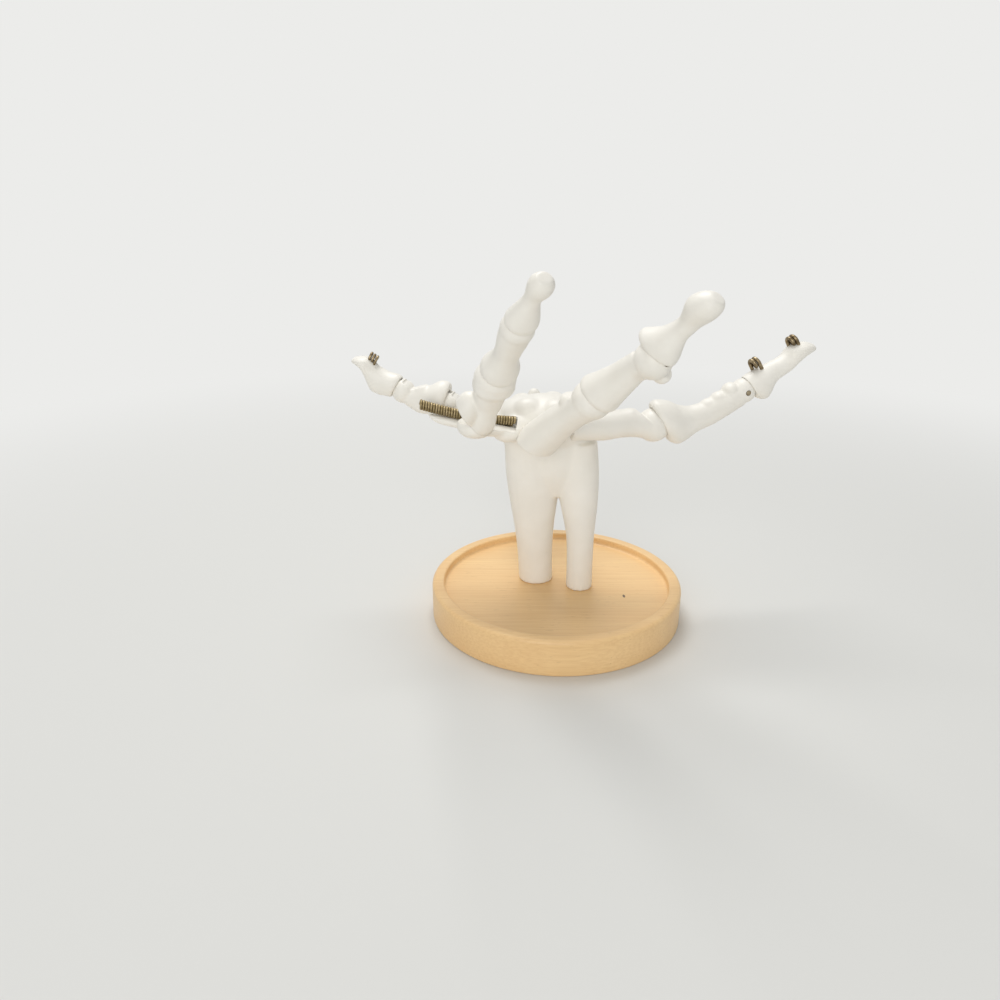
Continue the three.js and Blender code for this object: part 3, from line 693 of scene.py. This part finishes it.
# %% Bone sections
# along, across, palmward, half width, half height, and where a rim is cut aslant its tilt in degrees
SECTIONS = {
    "thumb_metacarpal": [
        (-1.6, 0, -0.6, 4.8, 5.0), (2, 0, -1.3, 6.0, 6.0), (6.5, 0, -1.8, 6.4, 6.6),
        (10, 0, -1.6, 5.4, 5.4), (13, 0, -1.2, 5.0, 4.7), (15.2, 0, -0.6, 4.8, 4.4)],
    "thumb_proximal": [
        (1.6, 0, -0.3, 6.0, 7.8), (3.2, 0, -0.1, 6.5, 8.2), (5.4, 0, 0.2, 6.4, 7.6),
        (7.6, 0, 0, 5.5, 6.2), (9.6, 0, -1, 4.9, 5.6), (12, 0, -1.1, 4.6, 5.5),
        (14.5, 0, -1.4, 4.2, 4.4), (16.8, 0, -1.4, 4.1, 3.6)],
    "thumb_distal": [
        (2.9, 0, -0.2, 4.7, 4.5), (4.8, 0, -0.5, 5.1, 4.9), (8, 0, -1.6, 4.9, 5.0),
        (11, 0, -1.85, 4.5, 5.0), (13.2, 0, -1.1, 4.2, 4.3), (15.4, 0, 0.1, 4.4, 3.6),
        (18, 0, 1.1, 4.8, 2.7), (20.4, 0, 0.7, 4.1, 1.9), (22.5, 0, -0.2, 2.3, 1.2)],
    "index_metacarpal": [
        (-0.6, -0.6, 0.6, 4.6, 3.8), (3, -0.6, 0.3, 5.0, 5.0), (7, -0.7, 0, 4.8, 5.2),
        (10.8, -0.7, 0, 4.5, 5.0), (14, -0.3, 0, 5.0, 5.0), (17.5, -0.5, 0, 5.6, 5.3),
        (20.3, -0.3, 0, 6.0, 5.6), (21.7, 0.1, 0, 7.1, 6.3), (23.2, 0.2, 0, 7.5, 6.7),
        (24.6, 0, 0, 7.3, 6.6)],
    "index_proximal": [
        (4.0, 0, 0, 6.0, 6.1), (5.6, 0, 0, 6.5, 6.5), (8.4, 0, 0, 6.5, 5.9),
        (11.5, 0, -0.2, 5.2, 4.9), (14.5, 0, -0.3, 4.4, 4.3), (18, 0, -0.3, 4.5, 4.2),
        (21.5, 0, -0.2, 5.0, 4.4), (24.6, 0, 0, 5.3, 4.8), (27.2, 0, 0, 5.2, 5.0)],
    "index_distal": [
        (3.1, 0, 0, 5.0, 4.8), (4.8, 0, 0, 5.5, 4.9), (7.4, 0, 0, 5.0, 4.2),
        (11.5, 0, 0, 3.7, 3.2), (15, 0, 0, 2.8, 2.6), (17, 0.4, 0.2, 3.1, 2.8),
        (19.5, 0.9, 0.4, 3.9, 3.6), (22, 1.0, 0.5, 3.8, 3.5), (24.2, 0.9, 0.4, 2.3, 2.1)],
    "middle_metacarpal": [
        (-4, 0, 0.8, 6.6, 6.2), (2, 0, 0.6, 7.3, 7.2), (8, 0, 0.8, 7.4, 7.0), (14, 0, 1.0, 7.0, 6.4),
        (20, 0, 1.0, 6.6, 5.9), (26, 0, 0.6, 6.3, 5.6), (30.5, 0, 0.2, 6.5, 5.9), (34.6, 0, 0, 7.0, 6.5)],
    "middle_proximal": [
        (2.7, 0, 0.4, 6.3, 7.4, -14), (4.4, 0, 0.5, 6.9, 7.7, -12), (7, 0, 0.4, 6.6, 7.0, -8),
        (11, 0, 0.4, 5.7, 6.2, -3), (14.7, 0, 0.5, 5.0, 5.6), (18.6, 0, 0.8, 4.7, 5.1),
        (22, 0, 1.0, 4.7, 4.7), (25, 0, 0.6, 5.1, 5.1), (27.5, 0, 0.2, 5.6, 5.4)],
    "middle_distal": [
        (2.9, 0, 1.3, 5.5, 7.2, -8), (4.4, 0, 1.9, 5.9, 7.6, -6), (6.4, 0, 1.3, 5.6, 6.5, -3),
        (9.1, 0, 0.75, 4.6, 4.8), (12.5, 0, 0.6, 3.5, 3.5), (16, 0, 0.15, 3.2, 3.2),
        (18.5, 0, 0.4, 3.7, 3.6), (21.5, 0, 0.6, 4.8, 4.6), (24, 0, 0.2, 4.9, 4.7),
        (26.8, 0, -0.5, 4.0, 3.8), (28.6, 0, -1.0, 2.2, 2.2)],
    "ring_metacarpal": [
        (-10, 0, 0, 5.0, 4.4), (-1.6, 0, 0.3, 5.7, 5.2), (3, 0, 0.5, 6.1, 5.5),
        (8, 0, 1.0, 5.8, 5.3), (12, 0, 1.2, 5.6, 5.4), (16, 0, 0.9, 5.7, 5.4), (20, 0, 0.3, 6.0, 5.9)],
    "ring_proximal": [
        (2.3, 0, 0, 6.4, 8.4, -11), (4.2, 0, -0.4, 7.1, 9.6, -9), (6.4, 0, -1.2, 7.2, 9.4, -5),
        (8.4, 0, -2.0, 6.8, 8.5), (10.4, 0, -2.8, 6.1, 7.3), (12.5, 0, -3.2, 5.5, 6.3),
        (14.8, 0, -3.4, 5.1, 5.4), (17.5, 0, -3.4, 4.9, 5.0), (20.5, 0, -3.5, 4.7, 4.8),
        (24, 0, -2.9, 4.7, 4.9), (28, 0, -2.1, 4.8, 4.8), (32, 0, -1.2, 4.8, 4.8), (35, 0, -0.9, 4.6, 4.4)],
    "ring_distal": [
        (2.4, 0, -0.3, 4.8, 5.0, -8), (4.2, 0, -1.0, 5.1, 5.9, -4), (6.6, 0, -1.4, 5.1, 6.2),
        (8.6, 0, -1.0, 4.8, 5.6), (10.6, 0, -0.2, 4.4, 4.7), (12.8, 0, 0.3, 4.0, 4.0),
        (16, 0, 0.3, 3.9, 3.6), (19, 0, 0.5, 4.2, 3.6), (22, 0, 1.6, 4.8, 3.7),
        (25.3, 0, 1.8, 4.8, 3.1), (28.2, 0, 1.2, 3.9, 2.5), (30.6, 0, -0.1, 2.1, 1.4)],
    "little_metacarpal": [
        (-1.6, 0, 0, 4.6, 4.4), (4, 0, 0, 5.2, 5.0), (9, 0, 0, 4.5, 4.4),
        (13, 0, 0, 4.3, 4.2), (16.5, 0, 0, 4.7, 4.5), (18.5, 0, 0, 5.3, 5.1)],
    "little_proximal": [
        (3.2, 0, 0, 5.2, 5.1), (4.8, 0, 0, 5.6, 5.4), (8.5, 0, -0.4, 4.5, 4.3),
        (13, 0, -0.5, 3.6, 3.6), (17, 0, -0.2, 3.9, 3.8), (20, 0, 0, 4.2, 4.1)],
    "little_distal": [
        (2.5, 0, 0, 4.2, 4.0), (4.0, 0, 0, 4.5, 4.3), (7.6, 0, 0, 3.5, 3.3),
        (12, 0, 0, 2.7, 2.6), (15.5, 0, 0.4, 3.3, 2.8), (18, 0, 0.5, 3.8, 3.0),
        (20.4, 0, 0.4, 2.8, 2.0), (21.5, 0, 0.2, 1.4, 1.0)],
}
# centre and half sizes of the lumps on a bone
LUMPS = {
    "thumb_metacarpal": [((6.4, -0.5, -5.4), (3.8, 4.2, 3.4)), ((13, 0, -3.8), (3.8, 4.4, 3.9))],
    "thumb_proximal": [((11.8, 0, 1.9), (3.8, 3.6, 3.0))],
    "index_metacarpal": [((10, -6.6, 1.4), (7.6, 4.6, 5.0))],
    "middle_metacarpal": [((28, 0, 3.8), (4.4, 5.4, 4.2))],
    "middle_proximal": [((26.9, 3.8, -3.9), (3.2, 3.2, 3.5))],
    "ring_metacarpal": [((12.5, 0, 4.0), (3.4, 4.2, 2.8))],
    "ring_proximal": [((31.6, 0, 2.1), (3.4, 3.8, 2.9)), ((26.6, 0, 0.9), (3.2, 3.4, 2.4)),
                      ((22.2, 0, 0.2), (3.4, 3.0, 2.0))],
}
# a point and the outward direction of a slanting end face
TRIMS = {
    "index_metacarpal": ((4.3, -5.6, 0), (-0.564, -0.826, 0)),
    "middle_metacarpal": ((2.0, 0, -0.25), (-0.88, 0, -0.47)),
}
print("bones", len(SECTIONS))

# %% [markdown]
# ## Building one bone
# The shaft, head and lumps are fused and smoothed first. Then the tools cut the cup and add the
# tongue. At the head they clear the rooms for the next rim, put the whole ball back, and cut the slot
# and the pin hole. A last fine Remesh and a touch of smoothing take the knife edge off every cut, as
# paint and handling do.

# %% Bone builder
BONE_VOXEL = 0.4
BONE_ROUNDS = 6
EDGE_VOXEL = 0.28
EDGE_SOFTENING = 4
BLOCK_SIZE = 60
# how far the cutters of a rim's room and of a pin hole go past a head's side
RIM_ROOM_SIDE = 3
PIN_HOLE_PAST = 2


def bone_place(hinge, rise, back=0):
    """From a bone's own millimetres to the stand's. Its origin is the hinge, or that far before it."""
    across = -Vector(hinge["axis"])
    heading = across.cross(UP)
    along = heading * cos(radians(rise)) + UP * sin(radians(rise))
    place = Matrix((along, across, along.cross(across))).transposed().to_4x4()
    place.translation = Vector(hinge["pos_m"]) / MM - along * back
    return place


def bone_form(node, head, length):
    """Shaft, lumps and ball head, still apart."""
    bm = bmesh.new()
    loft(bm, SECTIONS[node])
    for centre, half in LUMPS.get(node, []):
        lump(bm, centre, half)
    if head:
        radius, half_width, _ = head
        lump(bm, (length, 0, 0), (radius, half_width, radius))
    return bm


def slanting_block(point, outward):
    """A block that takes away everything beyond a slanting end face."""
    bm = bmesh.new()
    turn = Vector(outward).to_track_quat("Z", "Y").to_matrix().to_4x4()
    place = Matrix.Translation(point) @ turn @ Matrix.Translation((0, 0, BLOCK_SIZE / 2))
    bmesh.ops.create_cube(bm, size=BLOCK_SIZE, matrix=place)
    return bm


def add_socket(body, radius, half_width):
    """Cuts the cup and adds the tongue at the bone's origin."""
    half_thick = TONGUE_THICKNESS / 2
    combine(body, ball(radius, half_width, CUP_GAP), "DIFFERENCE")
    combine(body, tongue_neck(radius + TONGUE_ROOT), "UNION")
    combine(body, rod(TONGUE_EYE, -half_thick, half_thick), "UNION")
    combine(body, rod(PIN_RADIUS + PIN_GAP, -TONGUE_THICKNESS, TONGUE_THICKNESS), "DIFFERENCE")


def cut_head(body, node, length, radius, half_width, open_side):
    """Cuts the rooms for the next bone's rim, puts the whole ball back, and cuts slot and pin hole."""
    half_slot = TONGUE_THICKNESS / 2 + SLOT_GAP
    half_room = half_width + RIM_ROOM_SIDE
    blind_end = -open_side * (half_width - PIN_END_WALL)

    def at_head(operation, *tools):
        for tool in tools:
            bmesh.ops.translate(tool, verts=tool.verts[:], vec=(length, 0, 0))
            combine(body, tool, operation)

    for start, end in RIM_ROOMS.get(node, []):
        at_head("DIFFERENCE", swung(0, RIM_REACH, half_room, radians(start), radians(end)))
    at_head("UNION", ball(radius, half_width))
    for depth, start, end in HEAD_DIPS.get(node, []):
        at_head("DIFFERENCE", swung(radius - depth, RIM_REACH, half_room, radians(start), radians(end)))
    at_head("DIFFERENCE", *tongue_slot(radius))
    at_head("DIFFERENCE", rod(TONGUE_EYE + SLOT_GAP, -half_slot, half_slot),
            rod(PIN_RADIUS + PIN_GAP, blind_end, open_side * (half_width + PIN_HOLE_PAST)))


def bone_body(node, socket, head, length):
    """The scratch object of one bone. Socket and head are joint sizes, or None."""
    body = rough(bone_form(node, head, length))
    fuse(body, BONE_VOXEL, BONE_ROUNDS)
    if node in TRIMS:
        combine(body, slanting_block(*TRIMS[node]), "DIFFERENCE")
    if socket:
        add_socket(body, socket[0], socket[1])
    if head:
        cut_head(body, node, length, *head)
    return body


print("skin voxels", BONE_VOXEL, "mm, then", EDGE_VOXEL, "mm after the cuts")

# %% [markdown]
# ## All five digits
# Each digit is three bones in a row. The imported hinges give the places: the metacarpal ends at the
# knuckle's pin, the proximal bone runs from there to the tip joint's pin, and the distal bone goes on.

# %% Five digits
metacarpals = {}
for digit, rises in RISES.items():
    knuckle, tip = JOINTS[digit]
    knuckle_hinge, tip_hinge = (hinges[f"{digit}_{kind}_hinge"] for kind in ("knuckle", "tip"))
    reach = (Vector(tip_hinge["pos_m"]) - Vector(knuckle_hinge["pos_m"])).length / MM
    root = METACARPAL_LENGTHS[digit]
    plan = [
        ("metacarpal", None, knuckle, root, bone_place(knuckle_hinge, rises[0], root)),
        ("proximal", knuckle, tip, reach, bone_place(knuckle_hinge, rises[1])),
        ("distal", tip, None, 0, bone_place(tip_hinge, rises[2])),
    ]
    for kind, socket, head, length, place in plan:
        node = f"{digit}_{kind}"
        body = bone_body(node, socket, head, length)
        fuse(body, EDGE_VOXEL, EDGE_SOFTENING)
        mesh = settled(body)
        mesh.transform(place)
        if kind == "metacarpal":
            metacarpals[digit] = mesh.copy()
        finish_piece(node, mesh, white_plastic)
        print(node, "faces", len(mesh.polygons))

# %% [markdown]
# ## Forearm and palm
# Radius, ulna, wrist and palm are one casting. Each forearm bone is a loft through level sections,
# the wrist bridges them above a pointed gap, and the palm is a large oval with the wrist bones as
# swells on it. A slim ledge runs out under the long spring.

# %% Forearm sizes
PALM_HEIGHT = 65.5
PALM_LEVEL = TRAY_FLOOR + PALM_HEIGHT
# turns a loft along X to one that stands upright, with level sections
LEVEL = Matrix(((0, 1, 0, 0), (0, 0, 1, 0), (1, 0, 0, 0), (0, 0, 0, 1)))
# share of the palm's height, middle X and Y, half sizes in X and Y
FOREARM = {
    "radius": [(0, -7.8, 6.4, 7.0, 6.8), (0.14, -8.2, 6.2, 7.0, 6.6), (0.34, -8.8, 5.6, 7.8, 7.0),
               (0.55, -9.3, 4.8, 9.6, 7.6), (0.73, -9.6, 4.0, 10.8, 8.6), (0.92, -10, 4, 11, 9)],
    "ulna": [(0, 9.4, -1.3, 5.3, 5.3), (0.14, 9.4, -1.0, 5.2, 5.2), (0.34, 9.2, -0.4, 5.6, 5.6),
             (0.55, 8.3, 1.0, 7.5, 6.6), (0.73, 7.4, 2.6, 8.5, 8.0), (0.92, 6.4, 3.4, 8.4, 8.4)],
    "wrist": [(0.58, -1.6, 3.2, 8, 4), (0.73, -2, 3.4, 15, 8.2), (0.92, -3.4, 3.8, 17, 9.6),
              (1.04, -4.6, 4.6, 16, 9)],
}
# centre and half sizes of the palm's oval and of the swells on it
PALM_LUMPS = [
    ((-5, 6, PALM_LEVEL), (19.5, 14, 12.2)),
    ((-15, 6, 80), (9, 10, 7.4)),
    ((-9.2, 17, 86), (2.5, 2.5, 2.5)),
    ((-31.5, -12, 81), (6.8, 6.8, 4.6)),
    ((-19.5, -5, 77.5), (6.5, 7, 4.5)),
    ((-12, 1, 83.4), (6.2, 5.3, 5)),
    ((-2, -1, 83.2), (5.6, 5.3, 5)),
    ((7, 2, 81.9), (5.3, 5.3, 5)),
    ((-14, 11.5, 82.7), (5.3, 5.3, 5)),
    ((-2, 13.5, 82.9), (5.6, 5, 5)),
    ((8, 11.5, 80.6), (5, 5, 5)),
]
ARM_START = Vector((-5, 3, 76))
ARM_HALF_HEIGHT = 4
ARM_STOPS_SHORT = 1.4
ARM_LIFT = {"index": 2.4, "middle": 3.5}
SEAT_GAP = 0.06
FOREARM_VOXEL = 0.5
FOREARM_ROUNDS = 12
PLASTIC_HOLE_GAP = 0.1
SEAM_ANGLE = radians(40)
SPRING_START = (-17.5, -6.6, 80.3)
SPRING_SLOPE = radians(-12)
SPRING_PLACE = (Matrix.Translation(SPRING_START) @ Matrix.Rotation(pi, 4, "Z")
                @ Matrix.Rotation(SPRING_SLOPE, 4, "Y"))
# a round channel for the spring and a wide opening to the front and above it: sideways and upward
# offset and half sizes of each
SPRING_ROOM = [(0, 0.2, 2.1, 2.1), (6, 3, 8, 5)]
SPRING_ROOM_ENDS = (-0.9, 24)
# the ledge under the spring: along it, sideways, upward, half width and half height
SPRING_LEDGE = [(14, 0, -4.2, 2.6, 1.8), (20, 0, -4.2, 2.5, 1.7),
                (27, 0, -4.1, 2.2, 1.5), (31, 0, -3.4, 1.2, 0.8)]
print("the palm's middle is", PALM_LEVEL, "mm above the ground")

# %% [markdown]
# ## Fusing the casting
# An oval arm leads from the palm to each digit's seat. All of it is fused to one skin, and then the
# spring's channel, the seats and the screw holes are cut. The finished metacarpals, swollen by a
# hair, cut their own seats, so that a thin line shows round each base.

# %% Forearm
def palm_arm(bm, digit):
    """An oval arm from the palm's middle to a metacarpal's root."""
    seat = bone_place(hinges[f"{digit}_knuckle_hinge"], RISES[digit][0], METACARPAL_LENGTHS[digit])
    root = seat @ Vector((-ARM_STOPS_SHORT, 0, 0)) + UP * ARM_LIFT.get(digit, 0)
    reach = root - ARM_START
    along = reach.normalized()
    across = UP.cross(along).normalized()
    arm = Matrix((along, across, along.cross(across))).transposed().to_4x4()
    arm.translation = ARM_START
    half_width = SECTIONS[f"{digit}_metacarpal"][0][3]
    loft(bm, [(end, 0, 0, half_width, ARM_HALF_HEIGHT) for end in (0, reach.length)], arm)


def forearm_form():
    """Radius, ulna, wrist, palm and arms, still apart."""
    bm = bmesh.new()
    for rows in FOREARM.values():
        loft(bm, [(TRAY_FLOOR + share * PALM_HEIGHT, *rest) for share, *rest in rows], LEVEL)
    for centre, half in PALM_LUMPS:
        lump(bm, centre, half)
    for digit in RISES:
        palm_arm(bm, digit)
    loft(bm, SPRING_LEDGE, SPRING_PLACE)
    return bm


def swollen(mesh):
    """A scratch copy of a metacarpal, grown by the seat's gap, as a cutter."""
    body = bpy.data.objects.new("seat", mesh)
    scratch.objects.link(body)
    swell = body.modifiers.new("swell", "DISPLACE")
    swell.strength = SEAT_GAP
    swell.mid_level = 0
    return body


def spring_room(offset_and_half):
    """A cutter along the palm spring."""
    bm = bmesh.new()
    loft(bm, [(end, *offset_and_half) for end in SPRING_ROOM_ENDS], SPRING_PLACE)
    return bm


forearm = rough(forearm_form())
fuse(forearm, FOREARM_VOXEL, FOREARM_ROUNDS)
for room in SPRING_ROOM:
    combine(forearm, spring_room(room), "DIFFERENCE")
for mesh in metacarpals.values():
    combine(forearm, swollen(mesh), "DIFFERENCE")
cut_screw_holes(forearm, screw_outline(PLASTIC_HOLE_GAP))
forearm_mesh = settled(forearm)
forearm_mesh.set_sharp_from_angle(angle=SEAM_ANGLE)
print("forearm faces", len(forearm_mesh.polygons))
finish_piece("forearm", forearm_mesh, white_plastic)

# %% [markdown]
# ## Springs
# A coil spring is one wire: a small ring of vertices spun about the coil's axis while it steps
# forward by the pitch. The palm spring is wound close from thin wire and sags a little between its
# ends. The hook coils on the tip bones have a few thick turns, and their ends turn down into the
# plastic, which holds them.

# %% Springs
WIRE_SIDES = 12
STEPS_PER_TURN = 32
PALM_SPRING_RADIUS = 1.95
PALM_WIRE = 0.95
PALM_PITCH = 0.96
PALM_TURNS = 36.5
PALM_SAG = 1.1
PALM_LIFT = 0.9
# the bone, where the coil starts along it and its axis's height, its radius, wire, pitch and turns
HOOK_COILS = {
    "thumb_coil": ("thumb_distal", (14.4, 0, 4.3), 2.1, 1.05, 1.25, 2.5),
    "ring_middle_coil": ("ring_distal", (7.0, 0, 7.1), 2.25, 1.4, 1.46, 1.5),
    "ring_tip_coil": ("ring_distal", (22.9, 0, 6.7), 2.25, 1.4, 1.46, 1.5),
}
HOOK_LEG = 3


def draw_leg(bm, loop, length):
    """Pulls the wire's end down in a straight leg and closes it."""
    drawn = bmesh.ops.extrude_edge_only(bm, edges=loop)["geom"]
    tips = [part for part in drawn if isinstance(part, bmesh.types.BMVert)]
    rim = [part for part in drawn if isinstance(part, bmesh.types.BMEdge)
           and all(vert in tips for vert in part.verts)]
    bmesh.ops.translate(bm, verts=tips, vec=(0, 0, -length))
    bmesh.ops.edgeloop_fill(bm, edges=rim)


def coil(radius, wire, pitch, turns, first_leg, last_leg):
    """A coil along X from the origin, with straight legs down from its ends."""
    bm = bmesh.new()
    ring = bmesh.ops.create_circle(bm, cap_ends=False, segments=WIRE_SIDES, radius=wire / 2,
                                   matrix=Matrix.Translation((0, radius - wire / 2, 0)))
    verts = ring["verts"]
    start = list(dict.fromkeys(edge for vert in verts for edge in vert.link_edges))
    spun = bmesh.ops.spin(bm, geom=verts + start, cent=(0, 0, 0), axis=(1, 0, 0),
                          dvec=(pitch / STEPS_PER_TURN, 0, 0), angle=2 * pi * turns,
                          steps=round(turns * STEPS_PER_TURN))
    end = [part for part in spun["geom_last"] if isinstance(part, bmesh.types.BMEdge)]
    draw_leg(bm, start, first_leg)
    draw_leg(bm, end, last_leg)
    return bm


palm_spring = coil(PALM_SPRING_RADIUS, PALM_WIRE, PALM_PITCH, PALM_TURNS, PALM_WIRE / 2, PALM_WIRE / 2)
for vert in palm_spring.verts:
    share = vert.co.x / (PALM_PITCH * PALM_TURNS)
    # the sag is a parabola, deepest in the middle
    vert.co.z += PALM_LIFT * (1 - share) - PALM_SAG * 4 * share * (1 - share)
palm_spring_mesh = mesh_from(palm_spring, "palm_spring")
palm_spring_mesh.transform(SPRING_PLACE)
print("palm spring faces", len(palm_spring_mesh.polygons))
finish_piece("palm_spring", palm_spring_mesh, dull_bronze)

for node, (bone, start, radius, wire, pitch, turns) in HOOK_COILS.items():
    digit = bone.split("_")[0]
    mesh = mesh_from(coil(radius, wire, pitch, turns, HOOK_LEG, HOOK_LEG), node)
    mesh.transform(bone_place(hinges[f"{digit}_tip_hinge"], RISES[digit][2]) @ Matrix.Translation(start))
    finish_piece(node, mesh, aged_bronze)
    print(node, "faces", len(mesh.polygons))

# %% [markdown]
# ## Hinge pins
# Each hinge turns on a steel pin that is pressed in from one side and sits a little below the
# surface, where its end shows as a dark dot. The pin is turned, so its outline is spun, with a small
# chamfer at both ends.

# %% Pins
PIN_CHAMFER = 0.2
PIN_BLIND_GAP = 0.1


def pin_shape(half_width, open_side):
    """One pin along Y, from its blind end to its recessed end."""
    start = -(half_width - PIN_END_WALL) + PIN_BLIND_GAP
    end = half_width - PIN_RECESS
    low, high = start + PIN_CHAMFER, end - PIN_CHAMFER
    slim = PIN_RADIUS - PIN_CHAMFER
    bm = bmesh.new()
    turned(bm, [(0, start), (slim, start), (PIN_RADIUS, low), (PIN_RADIUS, high), (slim, end),
                (0, end)], PIN_SIDES)
    bmesh.ops.rotate(bm, verts=bm.verts[:], cent=(0, 0, 0),
                     matrix=Matrix.Rotation(-open_side * pi / 2, 3, "X"))
    return bm


for digit, sizes in JOINTS.items():
    for kind, (_, half_width, open_side), rise in zip(("knuckle", "tip"), sizes, RISES[digit]):
        node = f"{digit}_{kind}_pin"
        mesh = mesh_from(pin_shape(half_width, open_side), node)
        mesh.transform(bone_place(hinges[f"{digit}_{kind}_hinge"], rise))
        finish_piece(node, mesh, pin_steel)
print("pins", 2 * len(JOINTS))

# %% [markdown]
# ## Clearing up
# The scratch objects have done their work. They go now, so that they neither render nor stay in the
# scene.

# %% Clear the scratch objects
scratch_count = len(scratch.objects)
for body in scratch.objects[:]:
    bpy.data.objects.remove(body)
bpy.data.collections.remove(scratch)
print("scratch objects removed", scratch_count)

# %% [markdown]
# ## Floor and light
# The floor is pale paper that carries the shadow. Further out it fades to the same even white as the
# world, which only the camera and reflections see, so there is no horizon and no extra light. A soft
# lamp above and a little behind makes the tops bright, and a broad one fills the front. All of it is
# kept at a plain level, so that colours render about as they are written.

# %% Floor and lights
FLOOR_SIZE = 4
FLOOR_SQUARES = 8
FADE_FROM = 0.16
FADE_TO = 0.55
PAPER = "#DEDEDB"
BACKGROUND = "#ECECEA"
WORLD_LIGHT = "#F2F2F0"
WORLD_LEVEL = 0.48
# place, target, size and power of each lamp, in metres and watts
LAMPS = {
    "key": ((-0.1, 0.3, 0.9), (0, 0, 0.06), 0.45, 4.8),
    "fill": ((-0.2, -1.0, 0.35), (0, 0, 0.05), 0.8, 4.6),
}


def seen_share(holder):
    """A socket that is 1 for camera, glossy and transmission rays."""
    path = add_node(holder, "ShaderNodeLightPath", {})
    share = path.outputs["Is Camera Ray"]
    for name in ("Is Glossy Ray", "Is Transmission Ray"):
        added = add_node(holder, "ShaderNodeMath", {0: share, 1: path.outputs[name]}, operation="MAXIMUM")
        share = added.outputs["Value"]
    return share


def fading_paper():
    """Pale paper that fades to the background further out."""
    material, shader, place = start_material("pale_paper")
    shader.inputs["Base Color"].default_value = linear(PAPER)
    shader.inputs["Roughness"].default_value = 0.9
    away = add_node(material, "ShaderNodeVectorMath", {0: place}, operation="LENGTH")
    fade = add_node(material, "ShaderNodeMapRange",
                    {"Value": away.outputs["Value"], "From Min": FADE_FROM, "From Max": FADE_TO},
                    interpolation_type="SMOOTHSTEP")
    share = add_node(material, "ShaderNodeMath",
                     {0: fade.outputs["Result"], 1: seen_share(material)}, operation="MULTIPLY")
    plain = add_node(material, "ShaderNodeEmission", {"Color": linear(BACKGROUND)})
    mixed = add_node(material, "ShaderNodeMixShader",
                     {0: share.outputs["Value"], 1: shader.outputs["BSDF"], 2: plain.outputs["Emission"]})
    output = material.node_tree.get_output_node("ALL")
    material.node_tree.links.new(mixed.outputs["Shader"], output.inputs["Surface"])
    return material


def pale_floor():
    """A wide floor that the base stands on."""
    bm = bmesh.new()
    bmesh.ops.create_grid(bm, x_segments=FLOOR_SQUARES, y_segments=FLOOR_SQUARES, size=FLOOR_SIZE)
    mesh = bpy.data.meshes.new("floor")
    bm.to_mesh(mesh)
    bm.free()
    mesh.materials.append(fading_paper())
    floor = bpy.data.objects.new("floor", mesh)
    bpy.context.scene.collection.objects.link(floor)


def studio_world():
    """An even light that shows the background colour to the camera."""
    world = bpy.data.worlds.new("studio")
    world.use_nodes = True
    world.node_tree.nodes.clear()
    light = add_node(world, "ShaderNodeBackground", {"Color": linear(WORLD_LIGHT), "Strength": WORLD_LEVEL})
    seen = add_node(world, "ShaderNodeBackground", {"Color": linear(BACKGROUND)})
    mixed = add_node(world, "ShaderNodeMixShader", {0: seen_share(world), 1: light.outputs["Background"],
                                                    2: seen.outputs["Background"]})
    add_node(world, "ShaderNodeOutputWorld", {"Surface": mixed.outputs["Shader"]})
    return world


def soft_lamp(name, place, target, size, power):
    """A square area lamp that faces a point."""
    data = bpy.data.lights.new(name, "AREA")
    data.energy = power
    data.size = size
    lamp = bpy.data.objects.new(name, data)
    lamp.location = place
    lamp.rotation_euler = (Vector(target) - Vector(place)).to_track_quat("-Z", "Y").to_euler()
    bpy.context.scene.collection.objects.link(lamp)


pale_floor()
for name, settings in LAMPS.items():
    soft_lamp(name, *settings)
bpy.context.scene.world = studio_world()
bpy.context.scene.view_settings.view_transform = "Standard"
print("lamps and floor in place")
